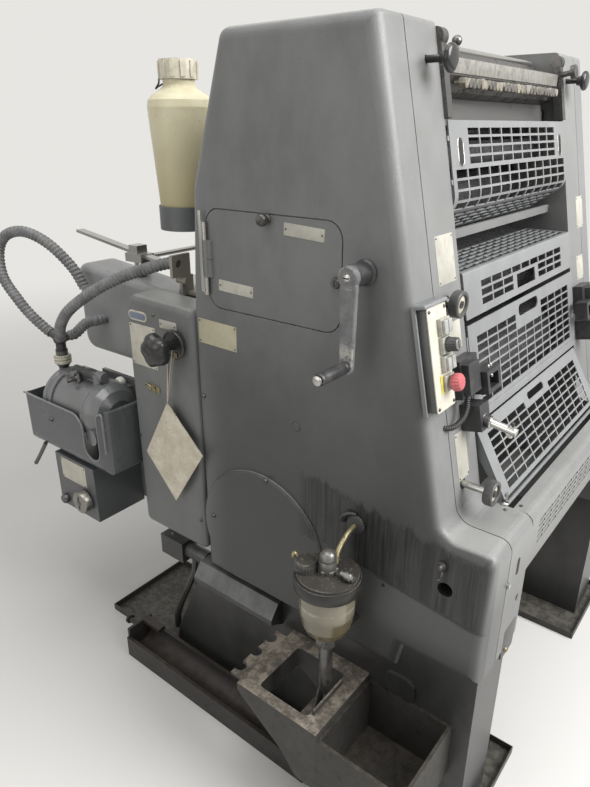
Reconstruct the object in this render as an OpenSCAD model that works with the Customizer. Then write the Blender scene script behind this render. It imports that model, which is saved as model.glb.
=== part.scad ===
// Small sheet-fed offset printing press: side housings on a cast base, feeder on the
// left, delivery on the right. X runs along the press towards the delivery, -Y is the
// operator's side, Z = 0 is the floor. Y = 0 of the modules is the centre plane.

/* [Side housings] */
// Half of the clear width between the side frames
open_half = 351; // [330:1:380]
// Thickness of a side frame
frame_t = 117; // [100:1:130]
// Thickness of a side cover
cover_t = 87; // [80:1:100]
// Height of the housings above the floor
top_z = 1717; // [1700:1:1740]
// Height of the shelf at the delivery end
shelf_z = 783; // [775:1:795]
// Front face of the housings
front_x = 740; // [735:1:750]
// Front end of the housing top
crown_front_x = 422; // [415:1:430]
// Rear end of the housing top
crown_rear_x = 63; // [50:1:75]
// Foot of the sloping front on the shelf
slope_foot_x = 621; // [615:1:630]
// Lower rear edge of the housings
rear_x = -56; // [-60:1:-50]
// Height where the rear edge starts to lean
rear_lean_z = 1145; // [1140:1:1160]
// Height of the second bend of the rear edge
rear_bend_z = 1418; // [1400:1:1440]
// Rear edge at its second bend
rear_bend_x = -37; // [-42:1:-30]
// Underside of the housings over the base
belly_z = 397; // [390:1:405]
// Underside of the front part of the housings
lip_z = 463; // [455:1:475]
// Front end of the low underside
belly_front_x = 546; // [535:1:550]
// Radius of the cover's outer edges
edge_r = 27; // [20:1:30]
// Radius of the hollow between slope and shelf
hollow_r = 40; // [30:1:50]
// Depth of the groove along the seam of cover and frame
seam_w = 3; // [2:0.5:4]

/* [Access door] */
// Rear edge of the door opening
door_x = 7; // [4:1:12]
// Width of the door opening
door_w = 366; // [340:1:370]
// Lower edge of the door opening
door_z = 1156; // [1150:1:1170]
// Height of the door opening
door_h = 222; // [200:1:230]
// Corner radius of the door opening
door_r = 38; // [30:1:45]
// Gap round the door
door_gap = 3; // [2:0.5:4]
// Thickness of the door plate
door_t = 5; // [4:0.5:8]
// Depth of the pocket behind the door
pocket_d = 55; // [40:1:65]
// Width of the ledge that the door shuts on
ledge_w = 14; // [10:1:20]
// Radius of the hinge pin
hinge_pin_r = 2.5; // [2:0.1:3]
// Radius of the hinge knuckles
knuckle_r = 5; // [4.5:0.1:5.5]
// Length of one knuckle
knuckle_l = 40; // [36:1:42]
// Running clearance of pins
pin_gap = 0.3; // [0.3:0.05:0.5]
// Diameter of the door's ball knob
ball_d = 24; // [20:1:28]

/* [Drive cover] */
// Middle of the round drive cover along the press
disc_x = 150; // [140:1:160]
// Height of the round drive cover's middle
disc_z = 570; // [560:1:580]
// Radius of the round drive cover
disc_r = 195; // [185:1:200]
// Thickness of the round drive cover
disc_h = 8; // [6:1:12]
// Width of its bevelled edge
disc_edge = 4; // [2:1:5]

/* [Hand crank] */
// Crank axis along the press
crank_x = 425; // [420:1:430]
// Height of the crank axis
crank_z = 1290; // [1280:1:1300]
// Throw of the crank
crank_throw = 170; // [150:1:180]
// Distance from the cover to the crank arm
crank_off = 48; // [46:1:60]
// Thickness of the crank arm
crank_arm_t = 12; // [8:1:14]
// Radius of the crank shaft
crank_shaft_r = 12; // [10:0.5:14]
// Radius of the grip
grip_r = 12.5; // [11:0.5:15]
// Length of the grip
grip_l = 83; // [70:1:100]
// Radius of the grip's pin
grip_pin_r = 4.5; // [4:0.5:6]

/* [Base and trays] */
// Outer face of the base walls
base_out = 535; // [530:1:545]
// Inner face of the base walls
base_in = 385; // [375:1:400]
// Sheet thickness of the drip pans
pan_t = 2; // [1.5:0.1:3]
// Rim height of the drip pans
pan_h = 22; // [18:1:25]
// Rear end of the drip pans
pan_rear_x = -520; // [-530:1:-500]
// Front end of the drip pans
pan_front_x = 761; // [755:1:765]
// Outer side of the drip pans
pan_out = 575; // [570:1:580]
// Inner side of the drip pans
pan_in = 259; // [250:1:280]

/* [Delivery end] */
// Depth of the delivery beam along the press
beam_w = 46; // [42:1:50]
// Lower edge of the delivery beam
beam_z = 640; // [630:1:650]
// Wall of the delivery beam
beam_t = 6; // [5:0.5:8]
// Thickness of the guard plates
guard_t = 3; // [2:0.5:4]
// Side clearance of the guards
guard_gap = 5; // [5:0.5:8]
// Width of one mesh window
mesh_w = 52; // [50:1:53]
// Width of the mesh's bars
mesh_bar = 4; // [3:0.5:5]
// Height from one mesh window to the next
mesh_pitch = 19.5; // [19:0.5:21]
// The same in the finer mesh of the upper guards
mesh_fine = 17; // [16:0.5:18]

/* [Guards on the sloping front] */
// Share of the front's height above the shelf at the lower guard's head
lower_head = 0.17; // [0.16:0.005:0.18]
// The same at the middle guard's foot
middle_foot = 0.2; // [0.195:0.005:0.21]
// The same at the shelf guard's foot
shelf_foot = 0.414; // [0.41:0.002:0.42]
// The same at the shelf guard's head
shelf_head = 0.516; // [0.51:0.002:0.52]
// The same at the upper guard's foot
upper_foot = 0.677; // [0.67:0.002:0.685]
// Depth of the shelf guard's top
shelf_guard_d = 125; // [115:1:130]
// Radius of the upper guard's curled foot
curl_r = 38; // [30:1:42]
// Angle of the curled foot
curl_a = 66; // [60:1:70]
// Depth of the sheet that runs back from it
back_l = 92; // [85:1:100]

/* [Knobs on the sloping front] */
// Radius of the two delivery knobs
knob_r = 27; // [25:0.5:30]
// Distance of the upper knob's face from the front
knob_high_out = 34; // [32:1:40]
// Distance of the lower knob's face from the front
knob_low_out = 73; // [65:1:80]
// Radius of the duct's end knobs
duct_knob_r = 24; // [20:1:28]
// Distance of their faces from the front
duct_knob_out = 52; // [46:1:60]

/* [Operator's panel] */
// Width of the panel box
panel_w = 74; // [70:1:78]
// Length of the panel box up the slope
panel_l = 200; // [195:1:205]
// Depth of the panel box
panel_d = 25; // [22:1:30]
// Outer side of the panel box
panel_y = -548; // [-550:1:-545]
// Height of the panel's middle
panel_z = 1137; // [1130:1:1145]
// Diameter of the emergency button
stop_d = 38; // [34:1:42]
// Stroke of the emergency button
stop_travel = 5; // [4:0.5:6]
// Height of the emergency button above the panel's lower end
stop_at = 50; // [48:1:51]
// Height of the rotary switch above the panel's lower end
switch_at = 123; // [121:1:125]
// Heights of the two pairs of push buttons
buttons_at = [88, 158];

/* [Feeder] */
// Rear end of the feeder side covers
feed_cover_x = -315; // [-320:1:-310]
// Top of the feeder side covers
feed_cover_z = 1140; // [1130:1:1150]
// Underside of the feeder side covers
feed_low_z = 442; // [435:1:450]
// Radius of their outer edges
feed_edge_r = 18; // [14:1:22]
// Rear end of the feeder frames
feed_frame_x = -418; // [-425:1:-410]
// Rear end of the feed arm boxes
arm_x = -670; // [-680:1:-660]
// Underside of the feed arm boxes
arm_z = 892; // [885:1:900]
// Top of the feed arm boxes at their rear end
arm_top_z = 1162; // [1155:1:1170]
// Fall of the arm boxes' tops towards the housings
arm_fall = 5; // [4:0.5:6]
// Axis of the feeder handwheel along the press
wheel_x = -117; // [-120:1:-112]
// Height of the feeder handwheel
wheel_z = 1040; // [1035:1:1045]
// Radius of the feeder handwheel's shaft
wheel_shaft_r = 8; // [6:0.5:10]

/* [Pump] */
// Middle of the pump along the press
pump_x = -522; // [-530:1:-515]
// Height of the pump's axis
pump_z = 770; // [765:1:775]
// Distance of the pump's axis from the centre plane
pump_y = -558; // [-562:1:-555]
// Radius of the pump's drum
pump_r = 90; // [85:1:92]
// Length of the pump's drum
pump_l = 235; // [225:1:245]
// Diameter of the hoses
hose_d = 32; // [30:1:34]
// Thickness of the plate that carries the pump
plate_t = 12; // [10:1:14]
// Rear end of the pump's guard shell
shell_rear_x = -734; // [-740:1:-728]
// Clearance between the drum and the guard shell's outer wall
shell_gap = 2; // [1:0.5:4]
// Underside of the guard shell
shell_z = 617; // [610:1:625]
// Height of the guard shell's rear part
shell_h = 170; // [160:1:180]
// Step up to its front end
shell_step = 40; // [30:1:50]
// Wall of the guard shell
shell_t = 5; // [4:0.5:6]
// Radius of its lower outer edge
shell_r = 40; // [34:1:44]
// Half of the width of its window
shell_window_r = 36; // [32:1:40]

/* [Water bottle] */
// Axis of the bottle along the press
bottle_x = -208; // [-215:1:-200]
// Distance of the bottle from the centre plane
bottle_y = -410; // [-415:1:-400]
// Radius of the bottle's shoulder
bottle_r = 79; // [74:1:82]
// Underside of the bottle's cup
cup_z = 1297; // [1290:1:1305]
// Height of the bottle's cup
cup_h = 58; // [50:1:65]
// Bottom of the bottle's cup
cup_t = 5; // [4:0.5:6]
// Height of the bottle up to its cap
bottle_h = 338; // [330:1:345]
// Radius of the bottle's neck
neck_r = 38; // [34:1:42]
// Radius of the bottle's cap
cap_r = 45; // [42:1:48]
// Height of the bottle's cap
cap_h = 42; // [38:1:46]

/* [Lubricator and tool box] */
// Axis of the lubricator along the press
lube_x = 425; // [420:1:428]
// Distance of the lubricator from the centre plane
lube_y = -655; // [-658:1:-650]
// Radius of the lubricator's cap
lube_r = 72; // [68:1:74]
// Underside of the lubricator's cap
lube_z = 640; // [635:1:645]
// Height of the cap's rim
cap_rim_h = 28; // [24:1:32]
// Radius of the lubricator's bowl
bowl_r = 61; // [56:1:64]
// Height of the lubricator's bowl
bowl_h = 122; // [115:1:130]
// Top of the tool box
box_top_z = 320; // [310:1:330]
// Distance from the lubricator's stem to the tool box's outer side
box_side = 100; // [95:1:110]
// Rear end of the tool box
box_x = 240; // [236:1:245]
// Length of the tool box
box_l = 233; // [228:1:238]
// Front end of the parts bin
bin_front_x = 690; // [680:1:700]
// Height of the parts bin's floor
bin_z = 160; // [150:1:170]
// Wall of the castings
cast_t = 8; // [6:1:10]

/* [Hidden] */
$fn = 48;
eps = 0.01;
fit = 0.3;

// Derived places of the housings
seam_y = open_half + frame_t;
out_y = seam_y + cover_t;
slope = (slope_foot_x - crown_front_x) / (top_z - shelf_z);
slope_a = atan(slope);
lip_rear_x = belly_front_x + 13;
// X of the sloping front at height z
function slope_x(z) = crown_front_x + slope * (top_z - z);

// X of the rear edge at height z above its lower bend
function rear_edge_x(z) =
    rear_x + (rear_bend_x - rear_x) * (z - rear_lean_z) / (rear_bend_z - rear_lean_z);

// Points of an arc of radius r about c from angle a to angle b in n steps
function arc(c, r, a, b, n = 6) =
    [for (i = [0 : n]) [c[0] + r * cos(a + (b - a) * i / n), c[1] + r * sin(a + (b - a) * i / n)]];

// Corner of a polygon rounded with radius r: q is the corner, p and s its neighbours
function bend(p, q, s, r) =
    let (
        u = (p - q) / norm(p - q),
        v = (s - q) / norm(s - q),
        half = acos(u * v) / 2,
        c = q + (u + v) / norm(u + v) * r / sin(half),
        e = q + u * r / tan(half) - c,
        f = q + v * r / tan(half) - c,
        a = atan2(e[1], e[0]),
        d = atan2(f[1], f[0]) - a,
        turn = d > 180 ? d - 360 : d < -180 ? d + 360 : d
    )
    [for (i = [0 : 5]) c + r * [cos(a + turn * i / 5), sin(a + turn * i / 5)]];

// Polygon pts with corner i rounded by r[i], 0 leaving it sharp
function rounded(pts, r) =
    let (n = len(pts))
    [for (i = [0 : n - 1])
        each r[i] == 0 ? [pts[i]] : bend(pts[(i + n - 1) % n], pts[i], pts[(i + 1) % n], r[i])];

// Corners of the housings seen from the operator's side, anticlockwise
side_corners = [
    [rear_x, belly_z], [belly_front_x, belly_z], [lip_rear_x, lip_z], [front_x, lip_z],
    [front_x, shelf_z], [slope_foot_x, shelf_z], [crown_front_x, top_z], [crown_rear_x, top_z],
    [rear_bend_x, rear_bend_z], [rear_x, rear_lean_z]];
side_radii = [0, 0, 0, 10, edge_r, hollow_r, 12, edge_r, 60, 0];

// Unit normal on the left of the edge from p to q
function inward(p, q) = let (u = (q - p) / norm(q - p)) [-u[1], u[0]];

// Corners drawn in by d from both their edges
function inset(pts, d) =
    let (n = len(pts))
    [for (i = [0 : n - 1])
        let (
            a = inward(pts[(i + n - 1) % n], pts[i]),
            b = inward(pts[i], pts[(i + 1) % n])
        )
        pts[i] + d * (a + b) / (1 + a * b)];

// Radii of the corners drawn in by d: a hollow corner's radius grows
function inset_radii(pts, radii, d) =
    let (n = len(pts))
    [for (i = [0 : n - 1])
        let (
            before = pts[i] - pts[(i + n - 1) % n],
            after = pts[(i + 1) % n] - pts[i]
        )
        radii[i] == 0 ? 0 : cross(before, after) < 0 ? radii[i] + d : max(radii[i] - d, 0.4)];

// Slab over an outline in X and Z: each ring is [y, inset], from the far side to the near
module slab(pts, radii, rings) {
    loops = [for (g = rings) rounded(inset(pts, g[1]), inset_radii(pts, radii, g[1]))];
    n = len(loops[0]);
    m = len(rings);
    walls = [for (j = [0 : m - 2], i = [0 : n - 1], t = [0, 1])
        let (a = j * n + i, b = j * n + (i + 1) % n)
        t == 0 ? [a, b + n, b] : [a, a + n, b + n]];
    caps = [[for (i = [0 : n - 1]) i], [for (i = [n - 1 : -1 : 0]) (m - 1) * n + i]];
    polyhedron([for (j = [0 : m - 1], p = loops[j]) [p[0], rings[j][0], p[1]]], concat(walls, caps));
}

// Rings that round the near edge at y_face with radius r
function face_rings(y_face, r, n = 5) =
    [for (k = [0 : n]) [y_face + r * (1 - sin(90 * k / n)), r * (1 - cos(90 * k / n))]];

// Flat outline in X and Z carried from y0 to y1
module upright(y0, y1) {
    translate([0, y1, 0]) rotate([90, 0, 0]) linear_extrude(y1 - y0) children();
}

// Local frame on the sloping front: x runs along +Y, y up the slope, z out of it
module on_slope(z) {
    translate([slope_x(z), 0, z]) rotate([0, -slope_a, 0]) rotate([90, 0, 90]) children();
}

// Cylinder along +Y from y0 to y1
module ycyl(x, z, r, y0, y1) {
    translate([x, y1, z]) rotate([90, 0, 0]) cylinder(r = r, h = y1 - y0);
}

// Cylinder along +X from x0 to x1
module xcyl(y, z, r, x0, x1) {
    translate([x0, y, z]) rotate([0, 90, 0]) cylinder(r = r, h = x1 - x0);
}

// Slot of length l between its ends' outer sides and width w
module slot2d(l, w) {
    square([l - w, w], center = true);
    for (s = [-1, 1]) translate([s * (l - w) / 2, 0]) circle(d = w, $fn = 16);
}

// Rounded rectangle from corner x, z
module round_rect(x, z, w, h, r) {
    polygon(rounded([[x, z], [x + w, z], [x + w, z + h], [x, z + h]], [r, r, r, r]));
}

module far_side() {
    mirror([0, 1, 0]) children();
}

// Side cover of the printing unit before its openings are cut: a shallow groove marks
// the seam to the frame, and the outer edge is rounded
module cover_shell() {
    slab(side_corners, side_radii,
         concat([[-seam_y, seam_w], [-seam_y - 2, seam_w], [-seam_y - 2.5, 0]],
                face_rings(-out_y, edge_r)));
}

// Places of the bores in the operator's side cover
pipe_hole = [lube_x + 5, lip_z + 278];
dark_hole = [front_x - 95, lip_z + 210];
pipe_hole_r = 22;
dark_hole_r = 17;
bore_l = 40;
hinge_x = door_x + door_gap;
hinge_y = -out_y - knuckle_r - 2;
door_mid_z = door_z + door_h / 2;

module near_side_cover() {
    color([0.42, 0.43, 0.43])
    difference() {
        cover_shell();
        upright(-out_y - 1, -out_y + door_t + fit)
            round_rect(door_x, door_z, door_w, door_h, door_r);
        upright(-out_y - 1, -out_y + pocket_d)
            round_rect(door_x + ledge_w, door_z + ledge_w, door_w - 2 * ledge_w,
                       door_h - 2 * ledge_w, door_r - ledge_w / 2);
        ycyl(crank_x, crank_z, crank_shaft_r + pin_gap, -out_y - 1, -out_y + bore_l);
        ycyl(pipe_hole[0], pipe_hole[1], pipe_hole_r, -out_y - 1, -out_y + bore_l);
        ycyl(dark_hole[0], dark_hole[1], dark_hole_r, -out_y - 1, -out_y + bore_l);
    }
}

module far_side_cover() {
    color([0.42, 0.43, 0.43]) far_side() cover_shell();
}

// Side frame with the feeder's frame behind it; its children are bores
module side_frame() {
    difference() {
        union() {
            upright(-seam_y, -open_half) polygon(rounded(side_corners, side_radii));
            upright(-seam_y, -open_half)
                polygon([[feed_frame_x, feed_low_z], [rear_x + 1, feed_low_z], [rear_x + 1, arm_z],
                         [feed_frame_x, arm_z]]);
        }
        children();
        ycyl(low_foot[0], pivot_z, pivot_r + pin_gap, -open_half - pivot_in - 5, -open_half + 1);
        shaft_bore(duct_knob);
    }
}

// Places of the knobs on the sloping front, in Y and Z, and their shafts
knob_high = [-open_half - 66, shelf_z + 439];
knob_low = [-open_half - 79, shelf_z + 67];
duct_knob = [-open_half - 49, top_z - 67];
knob_shaft_r = 7;
knob_bore_l = 60;

// Bore along X into the sloping front at k
module shaft_bore(k) {
    xcyl(k[0], k[1], knob_shaft_r + pin_gap, slope_x(k[1]) - knob_bore_l, slope_x(k[1]) + 10);
}

module near_side_frame() {
    color([0.55, 0.56, 0.56])
    side_frame() {
        shaft_bore(knob_high);
        shaft_bore(knob_low);
    }
}

module far_side_frame() {
    color([0.55, 0.56, 0.56]) far_side() side_frame();
}

// Side cover of the feeder with its slanted rear corner
feed_slant = [22, 70];
feed_cover_fall = 8;
module feeder_cover() {
    x1 = rear_x - 2;
    slab([[feed_cover_x, feed_low_z], [x1, feed_low_z], [x1, feed_cover_z - feed_cover_fall],
          [feed_cover_x + feed_slant[0], feed_cover_z], [feed_cover_x, feed_cover_z - feed_slant[1]]],
         [20, 20, 20, 24, 30],
         concat([[-seam_y, 0]], face_rings(-out_y, feed_edge_r)));
}

module near_feeder_cover() {
    color([0.42, 0.43, 0.43])
    difference() {
        feeder_cover();
        ycyl(wheel_x, wheel_z, wheel_shaft_r + pin_gap, -out_y - 1, -out_y + bore_l);
    }
}

module far_feeder_cover() {
    color([0.42, 0.43, 0.43]) far_side() feeder_cover();
}

// Door plate with its ball knob, its lock and the knuckles that turn on the hinge pin
ball_at = [door_x + door_w / 2 - 4, door_z + door_h - 12];
ball_neck_r = 5;
lock_at = [door_x + door_w - 13, door_z + door_h / 2 - 6];
lock_r = 10;
module access_door() {
    color([0.42, 0.43, 0.43])
    difference() {
        union() {
            upright(-out_y, -out_y + door_t)
                round_rect(door_x + door_gap, door_z + door_gap, door_w - 2 * door_gap,
                           door_h - 2 * door_gap, door_r - door_gap);
            for (s = [-1, 1]) translate([hinge_x, hinge_y, door_mid_z + s * (knuckle_l / 2 + 0.5)])
                knuckle();
            ycyl(ball_at[0], ball_at[1], ball_neck_r, -out_y - ball_d / 2, -out_y + 1);
            translate([ball_at[0], -out_y - ball_d / 2 - 4, ball_at[1]]) sphere(d = ball_d);
            ycyl(lock_at[0], lock_at[1], lock_r, -out_y - 8, -out_y + 1);
        }
        translate([hinge_x, hinge_y, door_z]) cylinder(r = hinge_pin_r + pin_gap, h = door_h);
    }
}

// One door knuckle with its leaf
leaf_w = 15;
module knuckle() {
    translate([0, 0, -knuckle_l / 2]) {
        cylinder(r = knuckle_r, h = knuckle_l);
        cube([leaf_w, knuckle_r + 3, knuckle_l]);
    }
}

// Fixed hinge leaf with its outer knuckles and the pin
module door_hinge() {
    color("silver") {
        for (s = [-1, 1]) translate([hinge_x, hinge_y, door_mid_z + s * (knuckle_l * 1.5 + 1)])
            translate([0, 0, -knuckle_l / 2]) {
                cylinder(r = knuckle_r, h = knuckle_l - 1);
                translate([-leaf_w, knuckle_r - 1, 0]) cube([leaf_w - 2.5, 3, knuckle_l - 1]);
                translate([-knuckle_r, 0, 0]) cube([2.5, knuckle_r, knuckle_l - 1]);
            }
        translate([hinge_x, hinge_y, door_mid_z - knuckle_l * 1.5])
            cylinder(r = hinge_pin_r, h = knuckle_l * 3);
    }
}

// Crank hung straight down, turning on its shaft in the side cover
crank_hub_r = 21;
crank_head_r = 19;
crank_foot_r = 15;
module hand_crank() {
    arm_y = -out_y - crank_off;
    grip_end = arm_y - crank_arm_t - grip_l;
    color([0.25, 0.25, 0.26])
    difference() {
        union() {
            ycyl(crank_x, crank_z, crank_shaft_r, arm_y - 1, -out_y + bore_l - 2);
            ycyl(crank_x, crank_z, crank_hub_r, arm_y - crank_arm_t - 3, arm_y + 6);
            upright(arm_y - crank_arm_t, arm_y) crank_arm_outline();
            ycyl(crank_x, crank_z - crank_throw, grip_pin_r, grip_end - 4, arm_y - 1);
            ycyl(crank_x, crank_z - crank_throw, grip_pin_r * 2, grip_end - 4, grip_end - 1);
        }
        ycyl(crank_x, crank_z, crank_shaft_r * 0.4, arm_y - crank_arm_t - 4, arm_y - crank_arm_t + 2);
    }
}

// Tapered arm with round ends
module crank_arm_outline() {
    translate([crank_x, crank_z]) circle(r = crank_head_r);
    translate([crank_x, crank_z - crank_throw]) circle(r = crank_foot_r);
    polygon([[crank_x - crank_head_r, crank_z], [crank_x - crank_foot_r, crank_z - crank_throw],
             [crank_x + crank_foot_r, crank_z - crank_throw], [crank_x + crank_head_r, crank_z]]);
}

module crank_grip() {
    y1 = -out_y - crank_off - crank_arm_t - 0.5;
    color([0.2, 0.2, 0.21])
    translate([crank_x, y1, crank_z - crank_throw]) rotate([90, 0, 0])
        rotate_extrude()
            polygon([[grip_pin_r + pin_gap, 0], [grip_r - 2, 0], [grip_r, 3], [grip_r, grip_l - 6],
                     [grip_r - 3, grip_l], [grip_pin_r + pin_gap, grip_l]]);
}

// Round raised cover over the drive gear, cut straight at its foot
module drive_cover_disc() {
    color([0.42, 0.43, 0.43])
    intersection() {
        translate([disc_x, -out_y, disc_z]) rotate([90, 0, 0]) rotate_extrude($fn = 96)
            polygon([[0, 0], [disc_r, 0], [disc_r, disc_h - disc_edge], [disc_r - disc_edge, disc_h],
                     [0, disc_h]]);
        translate([disc_x - disc_r, -out_y - disc_h, belly_z + edge_r])
            cube([2 * disc_r, disc_h, 2 * disc_r]);
    }
}

// Base wall: a rear foot that spreads to the floor and a front leg
foot_head_x = rear_x - 29;
foot_toe_x = rear_x - 183;
module base_wall() {
    upright(-base_out, -base_in)
        polygon([[foot_toe_x, pan_t], [front_x - 8, pan_t], [front_x - 8, lip_z], [lip_rear_x, lip_z],
                 [belly_front_x, belly_z], [foot_head_x, belly_z], [foot_head_x - 15, belly_z - 47],
                 [foot_toe_x + 9, pan_t + 58]]);
}

// Sloping ledge along the rear foot, below the side cover
ledge_w_out = 48;
ledge_l = 287;
module near_base() {
    ledge_out = base_out + ledge_w_out;
    color([0.4, 0.41, 0.41]) {
        base_wall();
        xcyl(drain_y, drain_z, 20, foot_head_x - 45, foot_head_x - 5);
        translate([foot_head_x, 0, 0]) rotate([90, 0, 90]) linear_extrude(ledge_l)
            polygon([[-base_out, belly_z], [-out_y, belly_z], [-ledge_out, belly_z - 37],
                     [-ledge_out, belly_z - 51], [-base_out, belly_z - 79]]);
        translate([belly_front_x + 9, -base_out, belly_z - 60]) rotate([90, 0, 0]) linear_extrude(6)
            round_rect(-40, -30, 80, 60, 22);
    }
}

module far_base() {
    color([0.4, 0.41, 0.41]) far_side() base_wall();
}

// Shallow tray with a rim that the base wall stands in
module drip_pan() {
    difference() {
        translate([pan_rear_x, -pan_out, 0])
            cube([pan_front_x - pan_rear_x, pan_out - pan_in, pan_h]);
        translate([pan_rear_x + pan_t, -pan_out + pan_t, pan_t])
            cube([pan_front_x - pan_rear_x - 2 * pan_t, pan_out - pan_in - 2 * pan_t, pan_h]);
    }
}

module near_drip_pan() {
    color([0.25, 0.23, 0.21]) drip_pan();
}

module far_drip_pan() {
    color([0.25, 0.23, 0.21]) far_side() drip_pan();
}

// Drain block on the rear foot with the pipe that bends down into the pan
drain_z = belly_z - 62;
drain_y = -base_out + 55;
module drain_fitting() {
    x1 = foot_head_x - 15;
    color([0.22, 0.21, 0.2]) {
        translate([x1 - 210, drain_y - 32, drain_z - 34]) cube([96, 64, 68]);
        xcyl(drain_y, drain_z, 24, x1 - 116, x1 - 30 - fit);
        xcyl(drain_y, drain_z, 12, x1 - 222, x1 - 208);
        tube([[x1 - 88, drain_y, drain_z - 10], [x1 - 92, drain_y - 6, drain_z - 70],
              [x1 - 120, drain_y - 16, drain_z - 140], [x1 - 150, drain_y - 22, drain_z - 210],
              [x1 - 172, drain_y - 24, drain_z - 270], [x1 - 176, drain_y - 22, pan_t + 14]],
             11, 8, [0, 1, 0]);
    }
}

// Cross members that tie the two side frames together
module tie_bar(x, z, w, h) {
    translate([x, -open_half, z]) cube([w, 2 * open_half, h]);
}

module cross_beams() {
    color([0.35, 0.36, 0.36]) {
        tie_bar(rear_x + 16, belly_z + 33, 70, 120);
        tie_bar(belly_front_x - 76, lip_z + 17, 60, 90);
        tie_bar(crown_rear_x + 27, top_z - 117, 60, 60);
        tie_bar(slope_x(front_z(0.58)) - 60, front_z(0.58) - 10, 8, 20);
    }
}

// Arm box of the feeder with its falling top, rounded along both sides
arm_in = open_half - 28;
arm_out = seam_y - 13;
arm_edge_r = 22;
module feed_arm() {
    r = arm_edge_r;
    x1 = rear_x + 60;
    near_side = face_rings(-arm_out, r);
    far_edge = [for (k = [5 : -1 : 0]) [-arm_in - r * (1 - sin(18 * k)), r * (1 - cos(18 * k))]];
    difference() {
        slab([[arm_x, arm_z], [x1, arm_z], [x1, arm_top(x1)], [arm_x, arm_top_z]],
             [44, 30, 30, 36], concat(far_edge, near_side));
        translate([rear_x, -arm_out - 1, arm_z - 1])
            cube([x1 - rear_x + 1, arm_out - arm_in + 2, arm_top_z]);
    }
}

module near_feed_arm() {
    color([0.42, 0.43, 0.43]) feed_arm();
}

module far_feed_arm() {
    color([0.42, 0.43, 0.43]) far_side() feed_arm();
}

// Sloping feed board between the arm boxes, carried on their inner sides
board_tilt = 3;
module feed_table() {
    x0 = arm_x + 110;
    color([0.5, 0.5, 0.48])
    translate([x0, -arm_in, arm_top_z - 102]) rotate([0, board_tilt, 0])
        cube([rear_x - 14 - x0, 2 * arm_in, 12]);
}

// Height of the near arm box's top at x
function arm_top(x) = arm_top_z - (x - arm_x) * tan(arm_fall);

// Bar of the feed head with its clamp, posts and cross rod on the near arm box
bar_y = -arm_out + 60;
bar_l = 369;
bar_w = [26, 8];
bar_tilt = 7.8;
bar_rear = [arm_x - 44, arm_top_z + 77];
clamp_x = arm_x + 200;
rod_x = clamp_x + 30;
post_r = 6;
// Height of the feed bar's underside at x
function bar_z(x) = bar_rear[1] - (x - bar_rear[0]) * tan(bar_tilt);

module feed_head_bar() {
    z0 = bar_z(clamp_x + 70) - 14;
    color([0.5, 0.5, 0.47]) {
        translate([bar_rear[0], bar_y - bar_w[0] / 2, bar_rear[1]]) rotate([0, bar_tilt, 0])
            cube([bar_l, bar_w[0], bar_w[1]]);
        translate([clamp_x, bar_y - 24, z0]) cube([70, 48, 14 + 70 * tan(bar_tilt)]);
        translate([clamp_x + 12, bar_y - 18, z0 + 12]) cube([36, 36, 34]);
        translate([rod_x, bar_y, z0 + 8]) rotate([-90, 0, 0]) cylinder(r = 7, h = -2 * bar_y);
        for (s = [-1, 1], x = [clamp_x + 18, clamp_x + 46])
            translate([x, s * bar_y, arm_top(x - 6) + fit])
                cylinder(r = post_r, h = z0 + 5 - arm_top(x - 6));
        translate([clamp_x + 6, bar_y - 20, arm_top(clamp_x + 6) + fit]) cube([52, 40, 12]);
        translate([clamp_x + 8, -bar_y - 24, z0]) cube([48, 48, 34]);
    }
}

// Plate on the near arm box that the long hose ends against, with its clamping screw
hose_plate_x = arm_x + 452;
hose_plate_z = arm_top_z + 48;
module hose_clamp() {
    z0 = arm_top(hose_plate_x - 26) + fit;
    color([0.5, 0.5, 0.48])
    difference() {
        union() {
            translate([hose_plate_x, -arm_out + 12, z0]) cube([10, 40, hose_plate_z - 33 - z0]);
            translate([hose_plate_x, -arm_out - 18, hose_plate_z - 34]) cube([10, 62, 58]);
            translate([hose_plate_x - 24, -arm_out + 30, z0]) cube([80, 44, 10]);
            xcyl(-arm_out + 20, hose_plate_z - 46, 9, hose_plate_x - 14, hose_plate_x + 22);
        }
        xcyl(-arm_out + 6, hose_plate_z, hose_d / 2 - 5, hose_plate_x - 1, hose_plate_x + 11);
    }
}

// Star knob and disc on the feeder's shaft
wheel_disc_r = 38.5;
star_r = [42, 35];
star_w = 38;
module feeder_handwheel() {
    y0 = -out_y;
    color([0.13, 0.13, 0.14]) {
        ycyl(wheel_x, wheel_z, wheel_shaft_r, y0 - 62, y0 + bore_l - 2);
        ycyl(wheel_x, wheel_z, wheel_disc_r, y0 - 14, y0 - 6);
        translate([wheel_x, y0 - 52, wheel_z]) rotate([90, 0, 0]) linear_extrude(star_w)
            star_outline(star_r[0], star_r[1], 5);
    }
}

// Star with n round lobes between radius b and radius a
module star_outline(a, b, n) {
    mean = (a + b) / 2;
    swing = (a - b) / 2;
    polygon([for (i = [0 : 10 * n - 1])
        (mean + swing * cos(36 * i)) * [cos(36 * i / n), sin(36 * i / n)]]);
}

// Card hung by one corner on a string that is looped over the handwheel's shaft
card_top = [wheel_x - 29, wheel_z - 160];
card_sides = [[122, -116], [4, -293], [-104, -175]];
string_t = 1.6;
module hanging_card() {
    y0 = -out_y - 22;
    inner = wheel_shaft_r + fit;
    color([0.8, 0.76, 0.66]) {
        upright(y0 - 1, y0 + 1)
            polygon(concat([card_top], [for (c = card_sides) card_top + c]));
        upright(y0 - 0.8, y0 + 0.8) {
            difference() {
                translate([wheel_x, wheel_z]) circle(r = inner + string_t, $fn = 24);
                translate([wheel_x, wheel_z]) circle(r = inner, $fn = 24);
            }
            for (s = [-1, 1])
                polygon([[wheel_x + s * (inner + string_t), wheel_z], card_top, card_top - [s * 2, 6],
                         [wheel_x + s * inner, wheel_z]]);
        }
    }
}

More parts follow.
